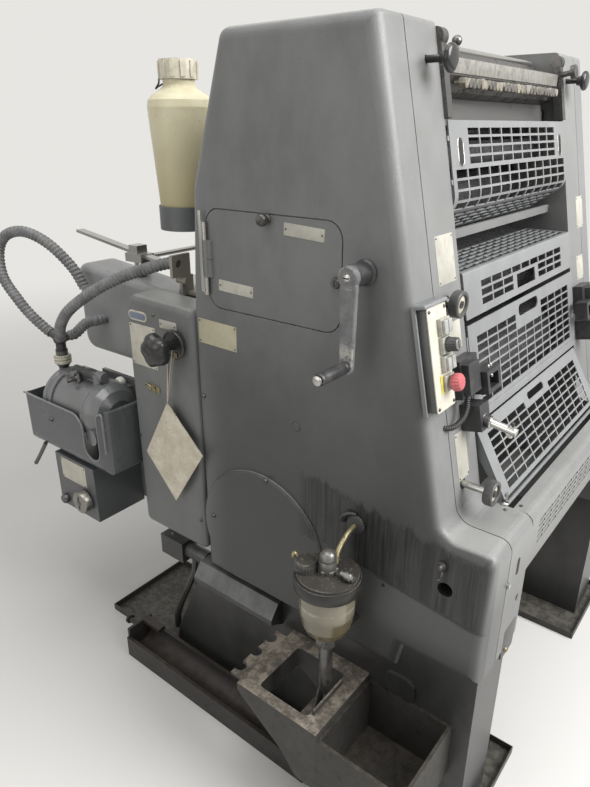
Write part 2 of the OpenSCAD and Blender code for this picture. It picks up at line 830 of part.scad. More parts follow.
// Drum of the pump with banded ends and its cocks, on the plate that the feeder frame carries
plate_y = -seam_y - plate_t;
pump_x0 = pump_x - pump_l / 2;
pump_x1 = pump_x + pump_l / 2;
pump_top = pump_z + pump_r;
bell_l = 42;
module pump_body() {
    color([0.33, 0.34, 0.34]) {
        translate([pump_x0, pump_y, pump_z]) rotate([0, 90, 0]) rotate_extrude()
            polygon([[0, -bell_l], [pump_r * 0.42, -bell_l], [pump_r * 0.5, -bell_l + 6],
                     [pump_r * 0.78, -16], [pump_r * 0.94, -2], [pump_r, 4], [pump_r, 14],
                     [pump_r - 5, 18], [pump_r - 5, pump_l - 42], [pump_r, pump_l - 38],
                     [pump_r, pump_l - 22], [pump_r - 3, pump_l - 8], [pump_r * 0.8, pump_l + 12],
                     [pump_r * 0.5, pump_l + 25], [0, pump_l + 25]]);
        translate([pump_x0 + 30, pump_y - 32, pump_top - 20]) cube([58, 56, 24]);
        xcyl(pump_y - 8, pump_top + 2, 12, pump_x0 + 84, pump_x1 - 30);
        translate([pump_x1 - 48, pump_y - 8, pump_top - 20]) cylinder(r = 19, h = 44);
        xcyl(pump_y - 8, pump_top + 16, 15, pump_x1 - 70, pump_x1 - 20);
        ycyl(pump_x1 - 6, pump_z - 49, 24, pump_y - 86, pump_y - 40);
        translate([pump_x0 + 108, pump_y - 8, pump_top - 8]) cylinder(r = 13, h = 34);
        ycyl(pump_x0 + 108, pump_top + 14, 8, pump_y - 44, pump_y - 8);
        translate([outlet[0], outlet[1], pump_z]) cylinder(r = 15, h = pump_r);
        difference() {
            translate([pump_x0 - 20, plate_y, feed_low_z + 8])
                cube([feed_cover_x - 2 - pump_x0 + 20, plate_t, 400]);
            translate([pump_x0 - 21, plate_y - 1, pump_z + 60]) cube([100, plate_t + 2, 200]);
        }
        translate([pump_x0 + 10, pump_y, pump_z - 60]) cube([pump_l - 20, plate_y - pump_y, 120]);
    }
}

// Guard shell round the pump: its wall towards the operator drops in a soft step to the
// U-shaped window, and its front end stands higher
shell_front_x = feed_cover_x - 15;
shell_out = pump_r - pump_y + shell_gap + shell_t;
shell_window_x = shell_front_x - 66;
module pump_shell() {
    x0 = shell_rear_x;
    x1 = shell_front_x;
    low = [[x0, shell_z], [x1, shell_z], [x1, shell_z + shell_h + shell_step],
           [shell_window_x + shell_window_r, shell_z + shell_h + shell_step - 20],
           [shell_window_x + shell_window_r, shell_z + 40], [shell_window_x - shell_window_r, shell_z + 40],
           [shell_window_x - shell_window_r, shell_z + shell_h - 4], [x0, shell_z + shell_h]];
    color([0.42, 0.43, 0.43])
    difference() {
        intersection() {
            shell_block(0, shell_r);
            upright(-shell_out - 1, plate_y + 1)
                polygon(rounded(low, [34, 20, 8, 14, shell_window_r - 1, shell_window_r - 1, 46, 16]));
        }
        shell_block(shell_t, shell_r - shell_t);
    }
}

// Block of the shell's outer form drawn in by d, rounded along its lower outer edge and
// its front upright edge by r; drawn in, it is open at the top
module shell_block(d, r) {
    top = shell_z + shell_h + shell_step + (d > 0 ? 10 : 0);
    back = plate_y + (d > 0 ? 10 : -fit);
    intersection() {
        translate([shell_rear_x + d, 0, 0]) rotate([90, 0, 90])
            linear_extrude(shell_front_x - shell_rear_x - 2 * d)
                polygon(rounded([[-shell_out + d, shell_z + d], [back, shell_z + d], [back, top],
                                 [-shell_out + d, top]], [r, 0, 0, 0]));
        translate([0, 0, shell_z + d]) linear_extrude(top - shell_z - d)
            polygon(rounded([[shell_rear_x + d, -shell_out + d], [shell_front_x - d, -shell_out + d],
                             [shell_front_x - d, back], [shell_rear_x + d, back]],
                            [max(r - 16, 4), max(r - 8, 6), 0, 0]));
    }
}

// Valve box under the pump
valve_l = 193;
valve_box_x = pump_x - 87;
valve_box_z = feed_low_z - 4;
valve_out = 650;
valve_x = valve_box_x + 143;
valve_z = valve_box_z + 62;
valve_shaft_r = 6;
valve_r = 34;
module pump_valve_box() {
    color([0.38, 0.39, 0.39])
    difference() {
        translate([valve_box_x, -valve_out, valve_box_z])
            cube([valve_l, valve_out + plate_y, shell_z - valve_box_z - fit]);
        ycyl(valve_x, valve_z, valve_shaft_r + pin_gap, -valve_out - 1, -valve_out + 30);
    }
}

module valve_knob() {
    color([0.5, 0.5, 0.45]) {
        ycyl(valve_x, valve_z, valve_shaft_r, -valve_out - 5, -valve_out + 28);
        ycyl(valve_x, valve_z, valve_r, -valve_out - 30, -valve_out - 4.5);
    }
}

// Upright outlet fitting with its union nut and the piece that the hoses plug into
outlet = [pump_x - 120, pump_y];
outlet_z = pump_top + fit;
hub_z = outlet_z + 88;
module pump_outlet() {
    color([0.75, 0.74, 0.7])
    translate([outlet[0], outlet[1], 0]) {
        translate([0, 0, outlet_z]) cylinder(r = 15, h = hub_z - outlet_z);
        translate([0, 0, outlet_z + 6]) cylinder(r = 19, h = 10);
        translate([0, 0, outlet_z + 14]) cylinder(r = 25, h = 22);
        translate([0, 0, outlet_z + 36]) cylinder(r = 18, h = 20);
        translate([0, 0, hub_z]) sphere(r = 20);
        for (d = hub_stubs) rotate([0, 0, d[0]]) translate([0, 0, hub_z]) rotate([0, 90 - d[1], 0])
            cylinder(r = 13, h = stub_l);
    }
}

// Direction of each stub: turn about the upright axis and rise above level
stub_l = 34;
hub_stubs = [[198, 30], [-28, 25], [35, 20]];
// Point at distance l along stub d
function stub_at(d, l) = [outlet[0] + l * cos(d[0]) * cos(d[1]), outlet[1] + l * sin(d[0]) * cos(d[1]),
    hub_z + l * sin(d[1])];
// First two points of the route that leaves stub d
function leaving(d) = [stub_at(d, stub_l), stub_at(d, stub_l + 20)];

// Routes of the hoses, in points chosen along them
loop_route = concat(leaving(hub_stubs[0]), [
    [-725, -592, 1016], [-760, -605, 1060], [-815, -610, 1120], [-835, -600, 1190],
    [-810, -585, 1240], [-750, -560, 1255], [-680, -530, 1225], [-620, -500, 1160],
    [-590, -485, 1100]]);
long_route = concat(leaving(hub_stubs[1]), [
    [-565, -595, 1014], [-520, -590, 1064], [-450, -560, 1118], [-380, -520, 1160],
    [-300, -480, 1192], [hose_plate_x - 20, -arm_out + 6, hose_plate_z],
    [hose_plate_x - fit, -arm_out + 6, hose_plate_z]]);
short_route = concat(leaving(hub_stubs[2]), [
    [-572, -508, 998], [-552, -490, 1005], [-548, -472, 1006], [-548, -arm_out - fit, 1006]]);

// Tube of radius r through the points of a route, closed at both ends
module tube(route, r, sides = 10, up = [0, 0, 1]) {
    n = len(route);
    function dir(i) = let (d = route[min(i + 1, n - 1)] - route[max(i - 1, 0)]) d / norm(d);
    function across(i) = let (c = cross(dir(i), up)) c / norm(c);
    pts = [for (i = [0 : n - 1], k = [0 : sides - 1])
        let (a = 360 * k / sides, u = across(i), v = cross(u, dir(i)))
        route[i] + r * (cos(a) * u + sin(a) * v)];
    walls = [for (i = [0 : n - 2], k = [0 : sides - 1], t = [0, 1])
        let (a = i * sides + k, b = i * sides + (k + 1) % sides)
        t == 0 ? [a, b, b + sides] : [a, b + sides, a + sides]];
    ends = [for (k = [1 : sides - 2], e = [0, 1])
        e == 0 ? [0, k + 1, k] : (n - 1) * sides * [1, 1, 1] + [0, k, k + 1]];
    polyhedron(pts, concat(walls, ends));
}

module loop_hose() {
    color([0.42, 0.42, 0.42]) tube(loop_route, hose_d / 2);
}

module long_hose() {
    color([0.42, 0.42, 0.42]) tube(long_route, hose_d / 2);
}

module short_hose() {
    color([0.42, 0.42, 0.42]) tube(short_route, hose_d / 2);
}

// Bottle turned about its axis, standing in its cup
module water_bottle() {
    z0 = cup_z + cup_t + fit;
    color([0.72, 0.69, 0.55])
    translate([bottle_x, bottle_y, z0]) rotate_extrude()
        polygon([[0, 0], [bottle_r - 18, 0], [bottle_r - 1, bottle_h - 76],
                 [bottle_r, bottle_h - 60], [bottle_r - 3, bottle_h - 44], [bottle_r - 14, bottle_h - 33],
                 [neck_r + 6, bottle_h - 20], [neck_r, bottle_h - 12], [neck_r, bottle_h], [0, bottle_h]]);
}

module bottle_cap() {
    color([0.78, 0.74, 0.6])
    translate([bottle_x, bottle_y, cup_z + cup_t + bottle_h + 2 * fit]) {
        cylinder(r = cap_r, h = cap_h);
        for (i = [0 : 11]) rotate([0, 0, 30 * i]) translate([cap_r - 1, -5, 4]) cube([4, 10, cap_h - 8]);
    }
}

// Cup that holds the bottle, on its bracket from the side frame
module bottle_cup() {
    r = bottle_r - 10;
    color([0.4, 0.41, 0.42])
    translate([bottle_x, bottle_y, cup_z]) {
        difference() {
            cylinder(r = r, h = cup_h);
            translate([0, 0, cup_t]) cylinder(r = r - 3, h = cup_h);
        }
        translate([r - 2, -20, 8])
            cube([rear_edge_x(cup_z + 8) - fit - bottle_x - r + 2, 40, 30]);
    }
}

// Channel section across the delivery end with rows of vents
vent = [41, 8];
vent_pitch = [47, 14];
vent_n = [13, 5];
module delivery_beam() {
    x0 = front_x - beam_w;
    xi = front_x - beam_t;
    zi = shelf_z - beam_t;
    vent_x0 = -(vent_n[0] * vent_pitch[0] - vent_pitch[0] + vent[0]) / 2;
    color([0.6, 0.61, 0.61])
    difference() {
        translate([0, open_half, 0]) rotate([90, 0, 0]) linear_extrude(2 * open_half)
            difference() {
                polygon(rounded([[x0, beam_z], [front_x, beam_z], [front_x, shelf_z], [x0, shelf_z]],
                                [0, 6, 22, 0]));
                polygon(rounded([[x0 - 1, beam_z + beam_t], [xi, beam_z + beam_t], [xi, zi], [x0 - 1, zi]],
                                [0, 0, 16, 0]));
            }
        for (row = [0 : vent_n[1] - 1], col = [0 : vent_n[0] - 1])
            translate([xi - 1, vent_x0 + vent_pitch[0] * col, beam_z + 44 + vent_pitch[1] * row])
                cube([beam_t + 2, vent[0], vent[1]]);
    }
}

// Number of mesh windows that fit in a width
function mesh_count(w, unit) = floor((w - mesh_bar) / unit);

// Flat guard, w wide and h high with its low edge at y = 0. Rows of mesh windows lie between
// the margins low and high, at least side from its ends, and leave out the patch round its
// hand slot, which is given as middle height, length, width and corner radius
module guard_sheet(w, h, low, high, side, slot = [0, 0, 0, 0], rows_pitch = mesh_pitch) {
    unit = mesh_w + mesh_bar;
    cols = mesh_count(w - 2 * side, unit);
    rows = mesh_count(h - low - high, rows_pitch);
    x0 = -(cols * unit - mesh_bar) / 2;
    window_h = rows_pitch - mesh_bar;
    difference() {
        translate([-w / 2, 0]) square([w, h]);
        for (c = [0 : 1 : cols - 1], r = [0 : 1 : rows - 1])
            let (x = x0 + c * unit, y = low + r * rows_pitch)
                if (abs(x + mesh_w / 2) > slot[1] / 2 + mesh_w / 2 || y + window_h < slot[0] - slot[2])
                    translate([x, y]) square([mesh_w, window_h]);
        if (slot[1] > 0)
            round_rect(-slot[1] / 2, slot[0] - slot[2] / 2, slot[1], slot[2], slot[3]);
    }
}

guard_w = 2 * (open_half - guard_gap);
// Height at a share of the sloping front above the shelf
function front_z(share) = shelf_z + share * (top_z - shelf_z);
// Length along the slope between two shares
function front_l(a, b) = (front_z(b) - front_z(a)) / cos(slope_a);

// Lugs on both frames that a guard rests on at its edges
lug_w = 14;
module guard_lugs(z, l) {
    for (s = [0, 1]) mirror([0, s, 0]) on_slope(z) translate([open_half - lug_w, 10, -8])
        cube([lug_w, l, 10]);
}

// Guard under the ink duct: a plate with an ear slot at each side, a narrow mesh field above
// a wide one, a foot that curls under and a mesh sheet that runs back from it
module upper_guard() {
    z0 = front_z(upper_foot);
    h = (duct_z - duct_arm[0] * cos(slope_a) - 6 - z0) / cos(slope_a);
    wide_h = 2 * mesh_fine + 12;
    color([0.5, 0.51, 0.51]) {
        on_slope(z0) translate([0, 0, 1]) linear_extrude(guard_t) difference() {
            union() {
                guard_sheet(guard_w, wide_h, 6, 0, 18, rows_pitch = mesh_fine);
                translate([0, wide_h]) guard_sheet(guard_w, h - wide_h, 2, 14, 84, rows_pitch = mesh_fine);
            }
            for (s = [-1, 1]) translate([s * (guard_w / 2 - 26), h * 0.58]) rotate(90) slot2d(56, 26);
        }
        on_slope(z0) translate([0, 0, 1 + guard_t - curl_r]) rotate([0, 90, 0])
            translate([0, 0, -guard_w / 2]) curl();
        on_slope(z0) translate([0, 0, 1 + guard_t - curl_r]) rotate([curl_a, 0, 0])
            translate([0, 0, curl_r - guard_t]) rotate([180, 0, 0]) translate([0, 0, -guard_t])
                linear_extrude(guard_t) guard_sheet(guard_w, back_l, 4, 6, 18, rows_pitch = mesh_fine);
        guard_lugs(z0, h * 0.8);
    }
}

// Curled foot: a quarter ring along the guard, with slits between its bars
module curl() {
    unit = mesh_w + mesh_bar;
    cols = mesh_count(guard_w - 36, unit);
    difference() {
        linear_extrude(guard_w) difference() {
            polygon(concat([[0, 0]], arc([0, 0], curl_r, 179, 181 + curl_a)));
            circle(r = curl_r - guard_t);
        }
        for (c = [0 : 1 : cols - 1])
            translate([0, 0, guard_w / 2 - (cols * unit - mesh_bar) / 2 + c * unit]) linear_extrude(mesh_w)
                polygon(concat([[0, 0]], arc([0, 0], curl_r + 4, 180 + curl_a * 0.1, 180 + curl_a * 0.9)));
    }
}

// Guard round the shelf over the cylinders: its face has a hand slot between two mesh fields
module shelf_guard() {
    z0 = front_z(shelf_foot);
    h = front_l(shelf_foot, shelf_head);
    color([0.5, 0.51, 0.51]) {
        on_slope(z0) translate([0, 0, 1]) linear_extrude(guard_t)
            guard_sheet(guard_w, h, h - 72, 14, 84, [h * 0.45, 120, 40, 10], mesh_fine);
        on_slope(front_z(shelf_head)) rotate([-78, 0, 0]) translate([0, -3, -guard_t])
            linear_extrude(guard_t) guard_sheet(guard_w, shelf_guard_d, 17, 8, 18);
        guard_lugs(z0 + 2, h * 0.8);
    }
}

module middle_guard() {
    z0 = front_z(middle_foot);
    h = front_l(middle_foot, shelf_foot) - 12;
    color([0.5, 0.51, 0.51]) {
        on_slope(z0) translate([0, 0, 1]) linear_extrude(guard_t)
            guard_sheet(guard_w, h, 10, 14, 18, [h - 27, 130, 28, 13]);
        guard_lugs(z0 + 5, h * 0.8);
    }
}

// Lower guard that hinges at its foot behind the beam, with bent sides
low_foot = [front_x - beam_w - 23, shelf_z + 9];
pivot_z = shelf_z - 11;
pivot_r = 5;
pivot_in = 20;
low_head = [slope_x(front_z(lower_head)) - 1, front_z(lower_head)];
low_l = norm(low_head - low_foot);
low_a = atan2(low_foot[0] - low_head[0], low_head[1] - low_foot[1]);
module lower_guard() {
    w = guard_w - 4;
    color([0.5, 0.51, 0.51])
    translate([low_foot[0], 0, low_foot[1]]) {
        rotate([0, -low_a, 0]) rotate([90, 0, 90]) translate([0, 0, -guard_t]) {
            linear_extrude(guard_t) guard_sheet(w, low_l - 2, 10, 10, 18, [low_l - 26, 110, 18, 8]);
            for (s = [-1, 1]) translate([s * (w / 2 - guard_t / 2), 0, 0]) rotate([0, -90, 0])
                translate([0, 0, -guard_t / 2]) linear_extrude(guard_t)
                    polygon([[-8, 12], [guard_t, 4], [guard_t, low_l - 4], [-26, low_l - 4]]);
        }
        translate([0, -open_half - pivot_in, pivot_z - low_foot[1]]) rotate([-90, 0, 0])
            cylinder(r = pivot_r, h = 2 * (open_half + pivot_in));
        for (s = [-1, 1]) translate([-9, s * (guard_w / 2 - 16) - 6, pivot_z - low_foot[1] - 3])
            cube([9, 12, low_foot[1] - pivot_z + 12]);
    }
}

// Box of the operator's panel
module control_panel() {
    color([0.75, 0.73, 0.66])
    on_slope(panel_z) translate([panel_y, -panel_l / 2, fit]) {
        difference() {
            linear_extrude(panel_d) round_rect(0, 0, panel_w, panel_l, 6);
            translate([button_x, stop_at, -1]) cylinder(r = stop_stem_r + pin_gap, h = panel_d + 2);
            translate([button_x, switch_at, panel_d - 12])
                cylinder(r = switch_stem_r + pin_gap, h = panel_d);
        }
    }
}

// Two pairs of push buttons above and below the rotary switch
button_x = panel_w - 24;
button_w = 34;
button_l = 28;
button_h = 14;
stop_stem_r = 9;
switch_stem_r = 5;
module panel_buttons() {
    color([0.7, 0.7, 0.66])
    on_slope(panel_z) translate([panel_y + button_x, -panel_l / 2, fit + panel_d])
        for (y = buttons_at) translate([0, y, 0]) {
            translate([-button_w / 2, -button_l / 2, 0]) cube([button_w, button_l, button_h - 4]);
            for (s = [-1, 1]) translate([s * button_w / 4 - button_w / 4 + 1.5, 2 - button_l / 2, 0])
                cube([button_w / 2 - 3, button_l - 4, button_h]);
        }
}

module panel_switch() {
    color([0.15, 0.15, 0.16])
    on_slope(panel_z) translate([panel_y + button_x, -panel_l / 2 + switch_at, fit + panel_d]) {
        translate([0, 0, -11]) cylinder(r = switch_stem_r, h = 14);
        translate([0, 0, 2]) cylinder(r = 14, h = 10);
        translate([0, 0, 12]) cylinder(r = 11, h = 12);
        translate([-3, -12, 12]) cube([6, 24, 12]);
    }
}

module emergency_stop() {
    color([0.8, 0.25, 0.28])
    on_slope(panel_z) translate([panel_y + button_x, -panel_l / 2 + stop_at, fit + panel_d]) {
        translate([0, 0, -17]) cylinder(r = stop_stem_r, h = 31);
        translate([0, 0, stop_travel + 7]) rotate_extrude()
            polygon([[0, 0], [stop_d / 2 - 3, 0], [stop_d / 2, 4], [stop_d / 2, 14],
                     [stop_d / 2 - 3, 18], [0, 19]]);
    }
}

// Knurled knob on its shaft along X into the sloping front at k
module slope_knob(k, x_face, r, w) {
    color([0.16, 0.16, 0.17]) {
        xcyl(k[0], k[1], knob_shaft_r, slope_x(k[1]) - knob_bore_l + 2, x_face - w + 1);
        translate([x_face - w, k[0], k[1]]) rotate([0, 90, 0]) rotate_extrude()
            polygon([[0, 0], [r - 3, 0], [r, 3], [r, w - 2], [r - 2, w], [r - 6, w],
                     [r - 8, w - 3], [0, w - 3]]);
    }
}

module upper_knob() {
    slope_knob(knob_high, slope_x(knob_high[1]) + knob_high_out, knob_r, 22);
}

module lower_knob() {
    slope_knob(knob_low, slope_x(knob_low[1]) + knob_low_out, knob_r, 22);
}

// Adjusting knob at each end of the ink duct
module duct_end_knob() {
    color([0.16, 0.16, 0.17]) {
        xcyl(duct_knob[0], duct_knob[1], knob_shaft_r, slope_x(duct_knob[1]) - knob_bore_l + 2,
             slope_x(duct_knob[1]) + duct_knob_out - 8);
        translate([slope_x(duct_knob[1]) + duct_knob_out - 22, duct_knob[0], duct_knob[1]])
            rotate([0, 90, 0]) rotate_extrude()
                polygon([[0, 0], [knob_shaft_r + 4, 0], [knob_shaft_r + 6, 8], [duct_knob_r - 2, 12],
                         [duct_knob_r, 15], [duct_knob_r, 20], [duct_knob_r - 5, 24], [0, 25]]);
    }
}

module near_duct_knob() {
    duct_end_knob();
}

module far_duct_knob() {
    far_side() duct_end_knob();
}

// Switch block with its frame-shaped stop, and below it the catch block with a bright rod
switch_z = shelf_z + 290;
catch_z = shelf_z + 204;
rod_r = 8;
rod_l = 78;
module guard_arm() {
    on_slope(switch_z) translate([-open_half - 92, -40, fit]) {
        cube([80, 78, 26]);
        translate([6, 8, 25]) cube([50, 62, 16]);
        translate([64, 30, 18]) cube([62, 10, 34]);
        translate([64, -8, 18]) difference() {
            cube([66, 48, 34]);
            translate([10, 10, -1]) cube([44, 28, 36]);
        }
    }
    on_slope(catch_z) translate([-open_half - 60, -30, fit]) cube([44, 56, 44]);
    translate([slope_x(catch_z) + 34, -open_half - 38, catch_z]) rotate([0, 98, 0]) {
        cylinder(r = rod_r + 5, h = 24);
        cylinder(r = rod_r, h = rod_l);
        translate([-18, 0, rod_l - 12]) rotate([0, 90, 0]) cylinder(r = 4.5, h = 24);
    }
}

module guard_arms() {
    color([0.2, 0.2, 0.2]) {
        guard_arm();
        far_side() guard_arm();
    }
}

// Ink duct across the top of the press: trough, blade with its front strip and a round rail
duct_x = crown_front_x + 10;
duct_z = top_z - 82;
duct_end = 22;
// Reach of the duct's arms below and above it
duct_arm = [84, 58];
module ink_duct() {
    l = 2 * (open_half - duct_end);
    color([0.3, 0.3, 0.3]) {
        translate([duct_x, l / 2, duct_z]) rotate([90, 0, 0]) linear_extrude(l)
            polygon([[-110, 6], [-82, 52], [-70, 52], [-46, 24], [-4, 30], [0, 26], [4, -4],
                     [-8, -34], [-30, -44], [-84, -44]]);
        translate([duct_x - 76, l / 2, duct_z + 52]) rotate([90, 0, 0]) cylinder(r = 7, h = l);
        translate([duct_x - 70, -130, duct_z + 24]) {
            cylinder(r = 6, h = 48);
            translate([0, 0, 48]) sphere(r = 11);
        }
    }
}

// Arm at each end that carries the duct, with its round head, and the far head's small knob
module duct_arm() {
    on_slope(duct_z) translate([open_half - duct_end + fit, 0, -14]) {
        translate([0, -duct_arm[0], 0]) cube([duct_end - fit, duct_arm[0] + duct_arm[1], 22]);
        translate([0, duct_arm[1], 11]) rotate([0, 90, 0]) cylinder(r = 17, h = duct_end - fit);
    }
}

module duct_brackets() {
    color([0.28, 0.28, 0.28]) {
        duct_arm();
        far_side() duct_arm();
        on_slope(duct_z) translate([open_half - duct_end / 2, 26, 6]) {
            cylinder(r = 7, h = 34);
            translate([0, 0, 26]) cylinder(r = 17, h = 12);
        }
    }
}

// Row of thumb keys along the duct
key_n = 14;
key_r = 10;
key_end = 81;
module ink_keys() {
    l = 2 * (open_half - key_end);
    color([0.45, 0.45, 0.44])
    for (i = [0 : key_n - 1])
        translate([duct_x + fit, -l / 2 + i * l / (key_n - 1), duct_z - 18]) rotate([0, 90, 0]) {
            cylinder(r = key_r / 2, h = 20, $fn = 16);
            translate([0, 0, 12]) cylinder(r = key_r, h = 16, $fn = 16);
        }
}

// Three large cylinders that run on each other, up the press behind the guards
cyl_gap = 6;
cyl_low = [slope_x(shelf_z + 177) - 163, shelf_z + 177];
cyl_high = [slope_x(top_z - 347) - 246, top_z - 347];
cyl_r = (norm(cyl_high - cyl_low) / 2 - cyl_gap) / 2;
// Ink rollers below the duct: depth behind the slope, drop below the top and radius
ink_rollers = [
    [132, 187, 34], [189, 172, 24], [82, 237, 28], [268, 217, 28], [365, 287, 24], [70, 152, 22]];
module press_cylinders() {
    color([0.35, 0.36, 0.36]) {
        for (t = [0, 0.5, 1])
            let (c = cyl_low + t * (cyl_high - cyl_low)) ycyl(c[0], c[1], cyl_r, -open_half, open_half);
        for (g = ink_rollers)
            ycyl(slope_x(top_z - g[1]) - g[0], top_z - g[1], g[2], -open_half, open_half);
    }
}

// Cap of the lubricator with its filler, its dome nut and the brass feed tube
module lubricator_head() {
    color([0.45, 0.43, 0.4])
    translate([lube_x, lube_y, lube_z]) {
        cylinder(r = lube_r, h = cap_rim_h);
        translate([0, 0, cap_rim_h]) cylinder(r = lube_r - 4, h = 6);
        translate([0, 0, cap_rim_h + 6]) cylinder(r = 22, h = 10, $fn = 6);
        translate([0, 0, cap_rim_h + 14]) cylinder(r = 17, h = 14);
        translate([0, 0, cap_rim_h + 28]) sphere(r = 17);
        translate([-42, -20, cap_rim_h]) cylinder(r = 24, h = 28);
    }
    color([0.7, 0.6, 0.35])
    tube([[lube_x + 10, lube_y + 14, lube_z + cap_rim_h + 22], [lube_x + 4, lube_y + 34, lube_z + 72],
          [pipe_hole[0], lube_y + 66, lube_z + 92], [pipe_hole[0], -out_y + 20, pipe_hole[1]]], 5, 8);
}

module lubricator_bowl() {
    z1 = lube_z - fit;
    color([0.6, 0.58, 0.5, 0.6])
    translate([lube_x, lube_y, 0]) rotate_extrude()
        polygon([[0, z1 - bowl_h], [bowl_r - 23, z1 - bowl_h], [bowl_r - 14, z1 - bowl_h + 8],
                 [bowl_r - 5, z1 - bowl_h + 28], [bowl_r, z1 - bowl_h + 60], [bowl_r, z1], [0, z1]]);
}

// Stem under the bowl that stands in the tool box, stayed to the side cover
stem_r = 16;
module lubricator_stem() {
    z1 = lube_z - bowl_h - 2 * fit;
    color([0.25, 0.24, 0.23])
    translate([lube_x, lube_y, 0]) {
        translate([0, 0, z1 - 38]) cylinder(r = 24, h = 38, $fn = 6);
        translate([0, 0, box_top_z + 47]) cylinder(r = stem_r, h = z1 - 37 - box_top_z - 47);
        translate([-20, 0, z1 - 32]) cube([40, -out_y - fit - lube_y, 12]);
        translate([-2, 0, box_top_z + 52]) rotate([0, 191, 0]) cylinder(r = 9, h = 140);
    }
}

// Cast box on the base wall with a square well and a notched strip behind it
box_low_z = box_top_z - 174;
box_out = box_side - lube_y;
module tool_box() {
    well_x = [box_x + 47, box_x + box_l - 44];
    well_y = [-box_out + 27, -base_out - 41];
    strip_y = [-box_out + 25, -base_out - 20];
    color([0.5, 0.48, 0.44])
    difference() {
        union() {
            translate([0, -base_out, 0]) rotate([90, 0, 0]) linear_extrude(box_out - base_out)
                polygon([[box_x, box_top_z], [box_x, box_top_z - 22], [box_x + 128, box_top_z - 115],
                         [box_x + 178, box_low_z], [box_x + box_l, box_low_z],
                         [box_x + box_l, box_top_z]]);
            translate([box_x - 44, strip_y[0], box_top_z - 22]) cube([50, strip_y[1] - strip_y[0], 8]);
            translate([well_x[1] + 6, well_y[0] + 12, box_top_z - 1])
                cube([5, well_y[1] - well_y[0] - 40, 15]);
        }
        translate([0, 0, box_top_z - 105]) linear_extrude(200)
            polygon(rounded([[well_x[0], well_y[0]], [well_x[1], well_y[0]], [well_x[1], well_y[1]],
                             [well_x[0], well_y[1]]], [10, 10, 10, 10]));
        for (i = [0 : 2])
            translate([box_x - 38, strip_y[0] + (i + 0.5) * (strip_y[1] - strip_y[0]) / 3, box_top_z - 30])
                cylinder(r = 15, h = 30);
    }
}

// Open bin for loose parts beside the tool box, its back against the base wall
bin_top_z = box_top_z - 15;
module parts_bin() {
    x0 = box_x + box_l + fit;
    color([0.42, 0.41, 0.38])
    difference() {
        union() {
            translate([0, 0, bin_z - cast_t]) linear_extrude(bin_top_z - bin_z + cast_t)
                polygon(rounded([[x0, -box_out], [bin_front_x, -box_out], [bin_front_x, -base_out],
                                 [x0, -base_out]], [0, 35, 0, 0]));
            upright(-base_out - cast_t, -base_out)
                polygon(rounded([[x0, bin_z], [bin_front_x, bin_z], [bin_front_x, bin_top_z],
                                 [x0, bin_top_z]], [0, 0, 40, 0]));
        }
        translate([0, 0, bin_z]) linear_extrude(200)
            polygon(rounded([[x0 + cast_t, -box_out + cast_t], [bin_front_x - cast_t, -box_out + cast_t],
                             [bin_front_x - cast_t, -base_out - cast_t], [x0 + cast_t, -base_out - cast_t]],
                            [0, 28, 0, 0]));
    }
}

// Trough on the floor along the drip pan, a half-round gutter with a clamp at its rear end
trough_x = box_x - 555;
trough_l = 690;
trough_w = 100;
trough_h = 70;
gutter_r = 40;
module washup_trough() {
    color([0.35, 0.32, 0.28])
    translate([trough_x, -pan_out - fit - trough_w, 0]) {
        difference() {
            cube([trough_l, trough_w, trough_h]);
            translate([10, trough_w / 2, trough_h]) rotate([0, 90, 0])
                cylinder(r = gutter_r, h = trough_l - 20);
        }
        translate([0, 6, trough_h - 1]) cube([9, trough_w - 12, 32]);
        translate([8, trough_w - 40, trough_h + 19]) cube([74, 26, 12]);
        xcyl(trough_w / 2, trough_h + 12, 8, -44, 1);
        xcyl(trough_w / 2, trough_h + 12, 14, -50, -42);
    }
}

// Extremes that put the origin under the middle of the press
low_x = shell_rear_x;
high_x = pan_front_x;
low_y = -box_out;
high_y = pan_out;
module placed() {
    translate([-(low_x + high_x) / 2, -(low_y + high_y) / 2, 0]) children();
}

placed() near_side_cover();
placed() far_side_cover();
placed() near_side_frame();
placed() far_side_frame();
placed() near_feeder_cover();
placed() far_feeder_cover();
placed() access_door();
placed() door_hinge();
placed() hand_crank();
placed() crank_grip();
placed() drive_cover_disc();
placed() near_base();
placed() far_base();
placed() near_drip_pan();
placed() far_drip_pan();
placed() cross_beams();
placed() near_feed_arm();
placed() far_feed_arm();
placed() feed_table();
placed() feed_head_bar();
placed() feeder_handwheel();
placed() hanging_card();
placed() pump_body();
placed() pump_shell();
placed() pump_valve_box();
placed() valve_knob();
placed() pump_outlet();
placed() loop_hose();
placed() long_hose();
placed() short_hose();
placed() water_bottle();
placed() bottle_cap();
placed() bottle_cup();
placed() delivery_beam();
placed() upper_guard();
placed() shelf_guard();
placed() middle_guard();
placed() lower_guard();
placed() control_panel();
placed() panel_buttons();
placed() panel_switch();
placed() emergency_stop();
placed() upper_knob();
placed() lower_knob();
placed() guard_arms();
placed() ink_duct();
placed() ink_keys();
placed() duct_brackets();
placed() near_duct_knob();
placed() far_duct_knob();
placed() press_cylinders();
placed() lubricator_head();
placed() lubricator_bowl();
placed() lubricator_stem();
placed() tool_box();
placed() parts_bin();
placed() washup_trough();
placed() drain_fitting();
placed() hose_clamp();
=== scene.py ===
"""Looks of the sheet-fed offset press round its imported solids.

Lengths are millimetres of the press: X runs towards the delivery, -Y is the operator's
side, Z = 0 is the floor and Y = 0 the middle plane between the side frames. Piece.done()
moves them into the row's frame, in metres.
"""

import math

import bmesh
import bpy
import numpy as np
from mathutils import Matrix


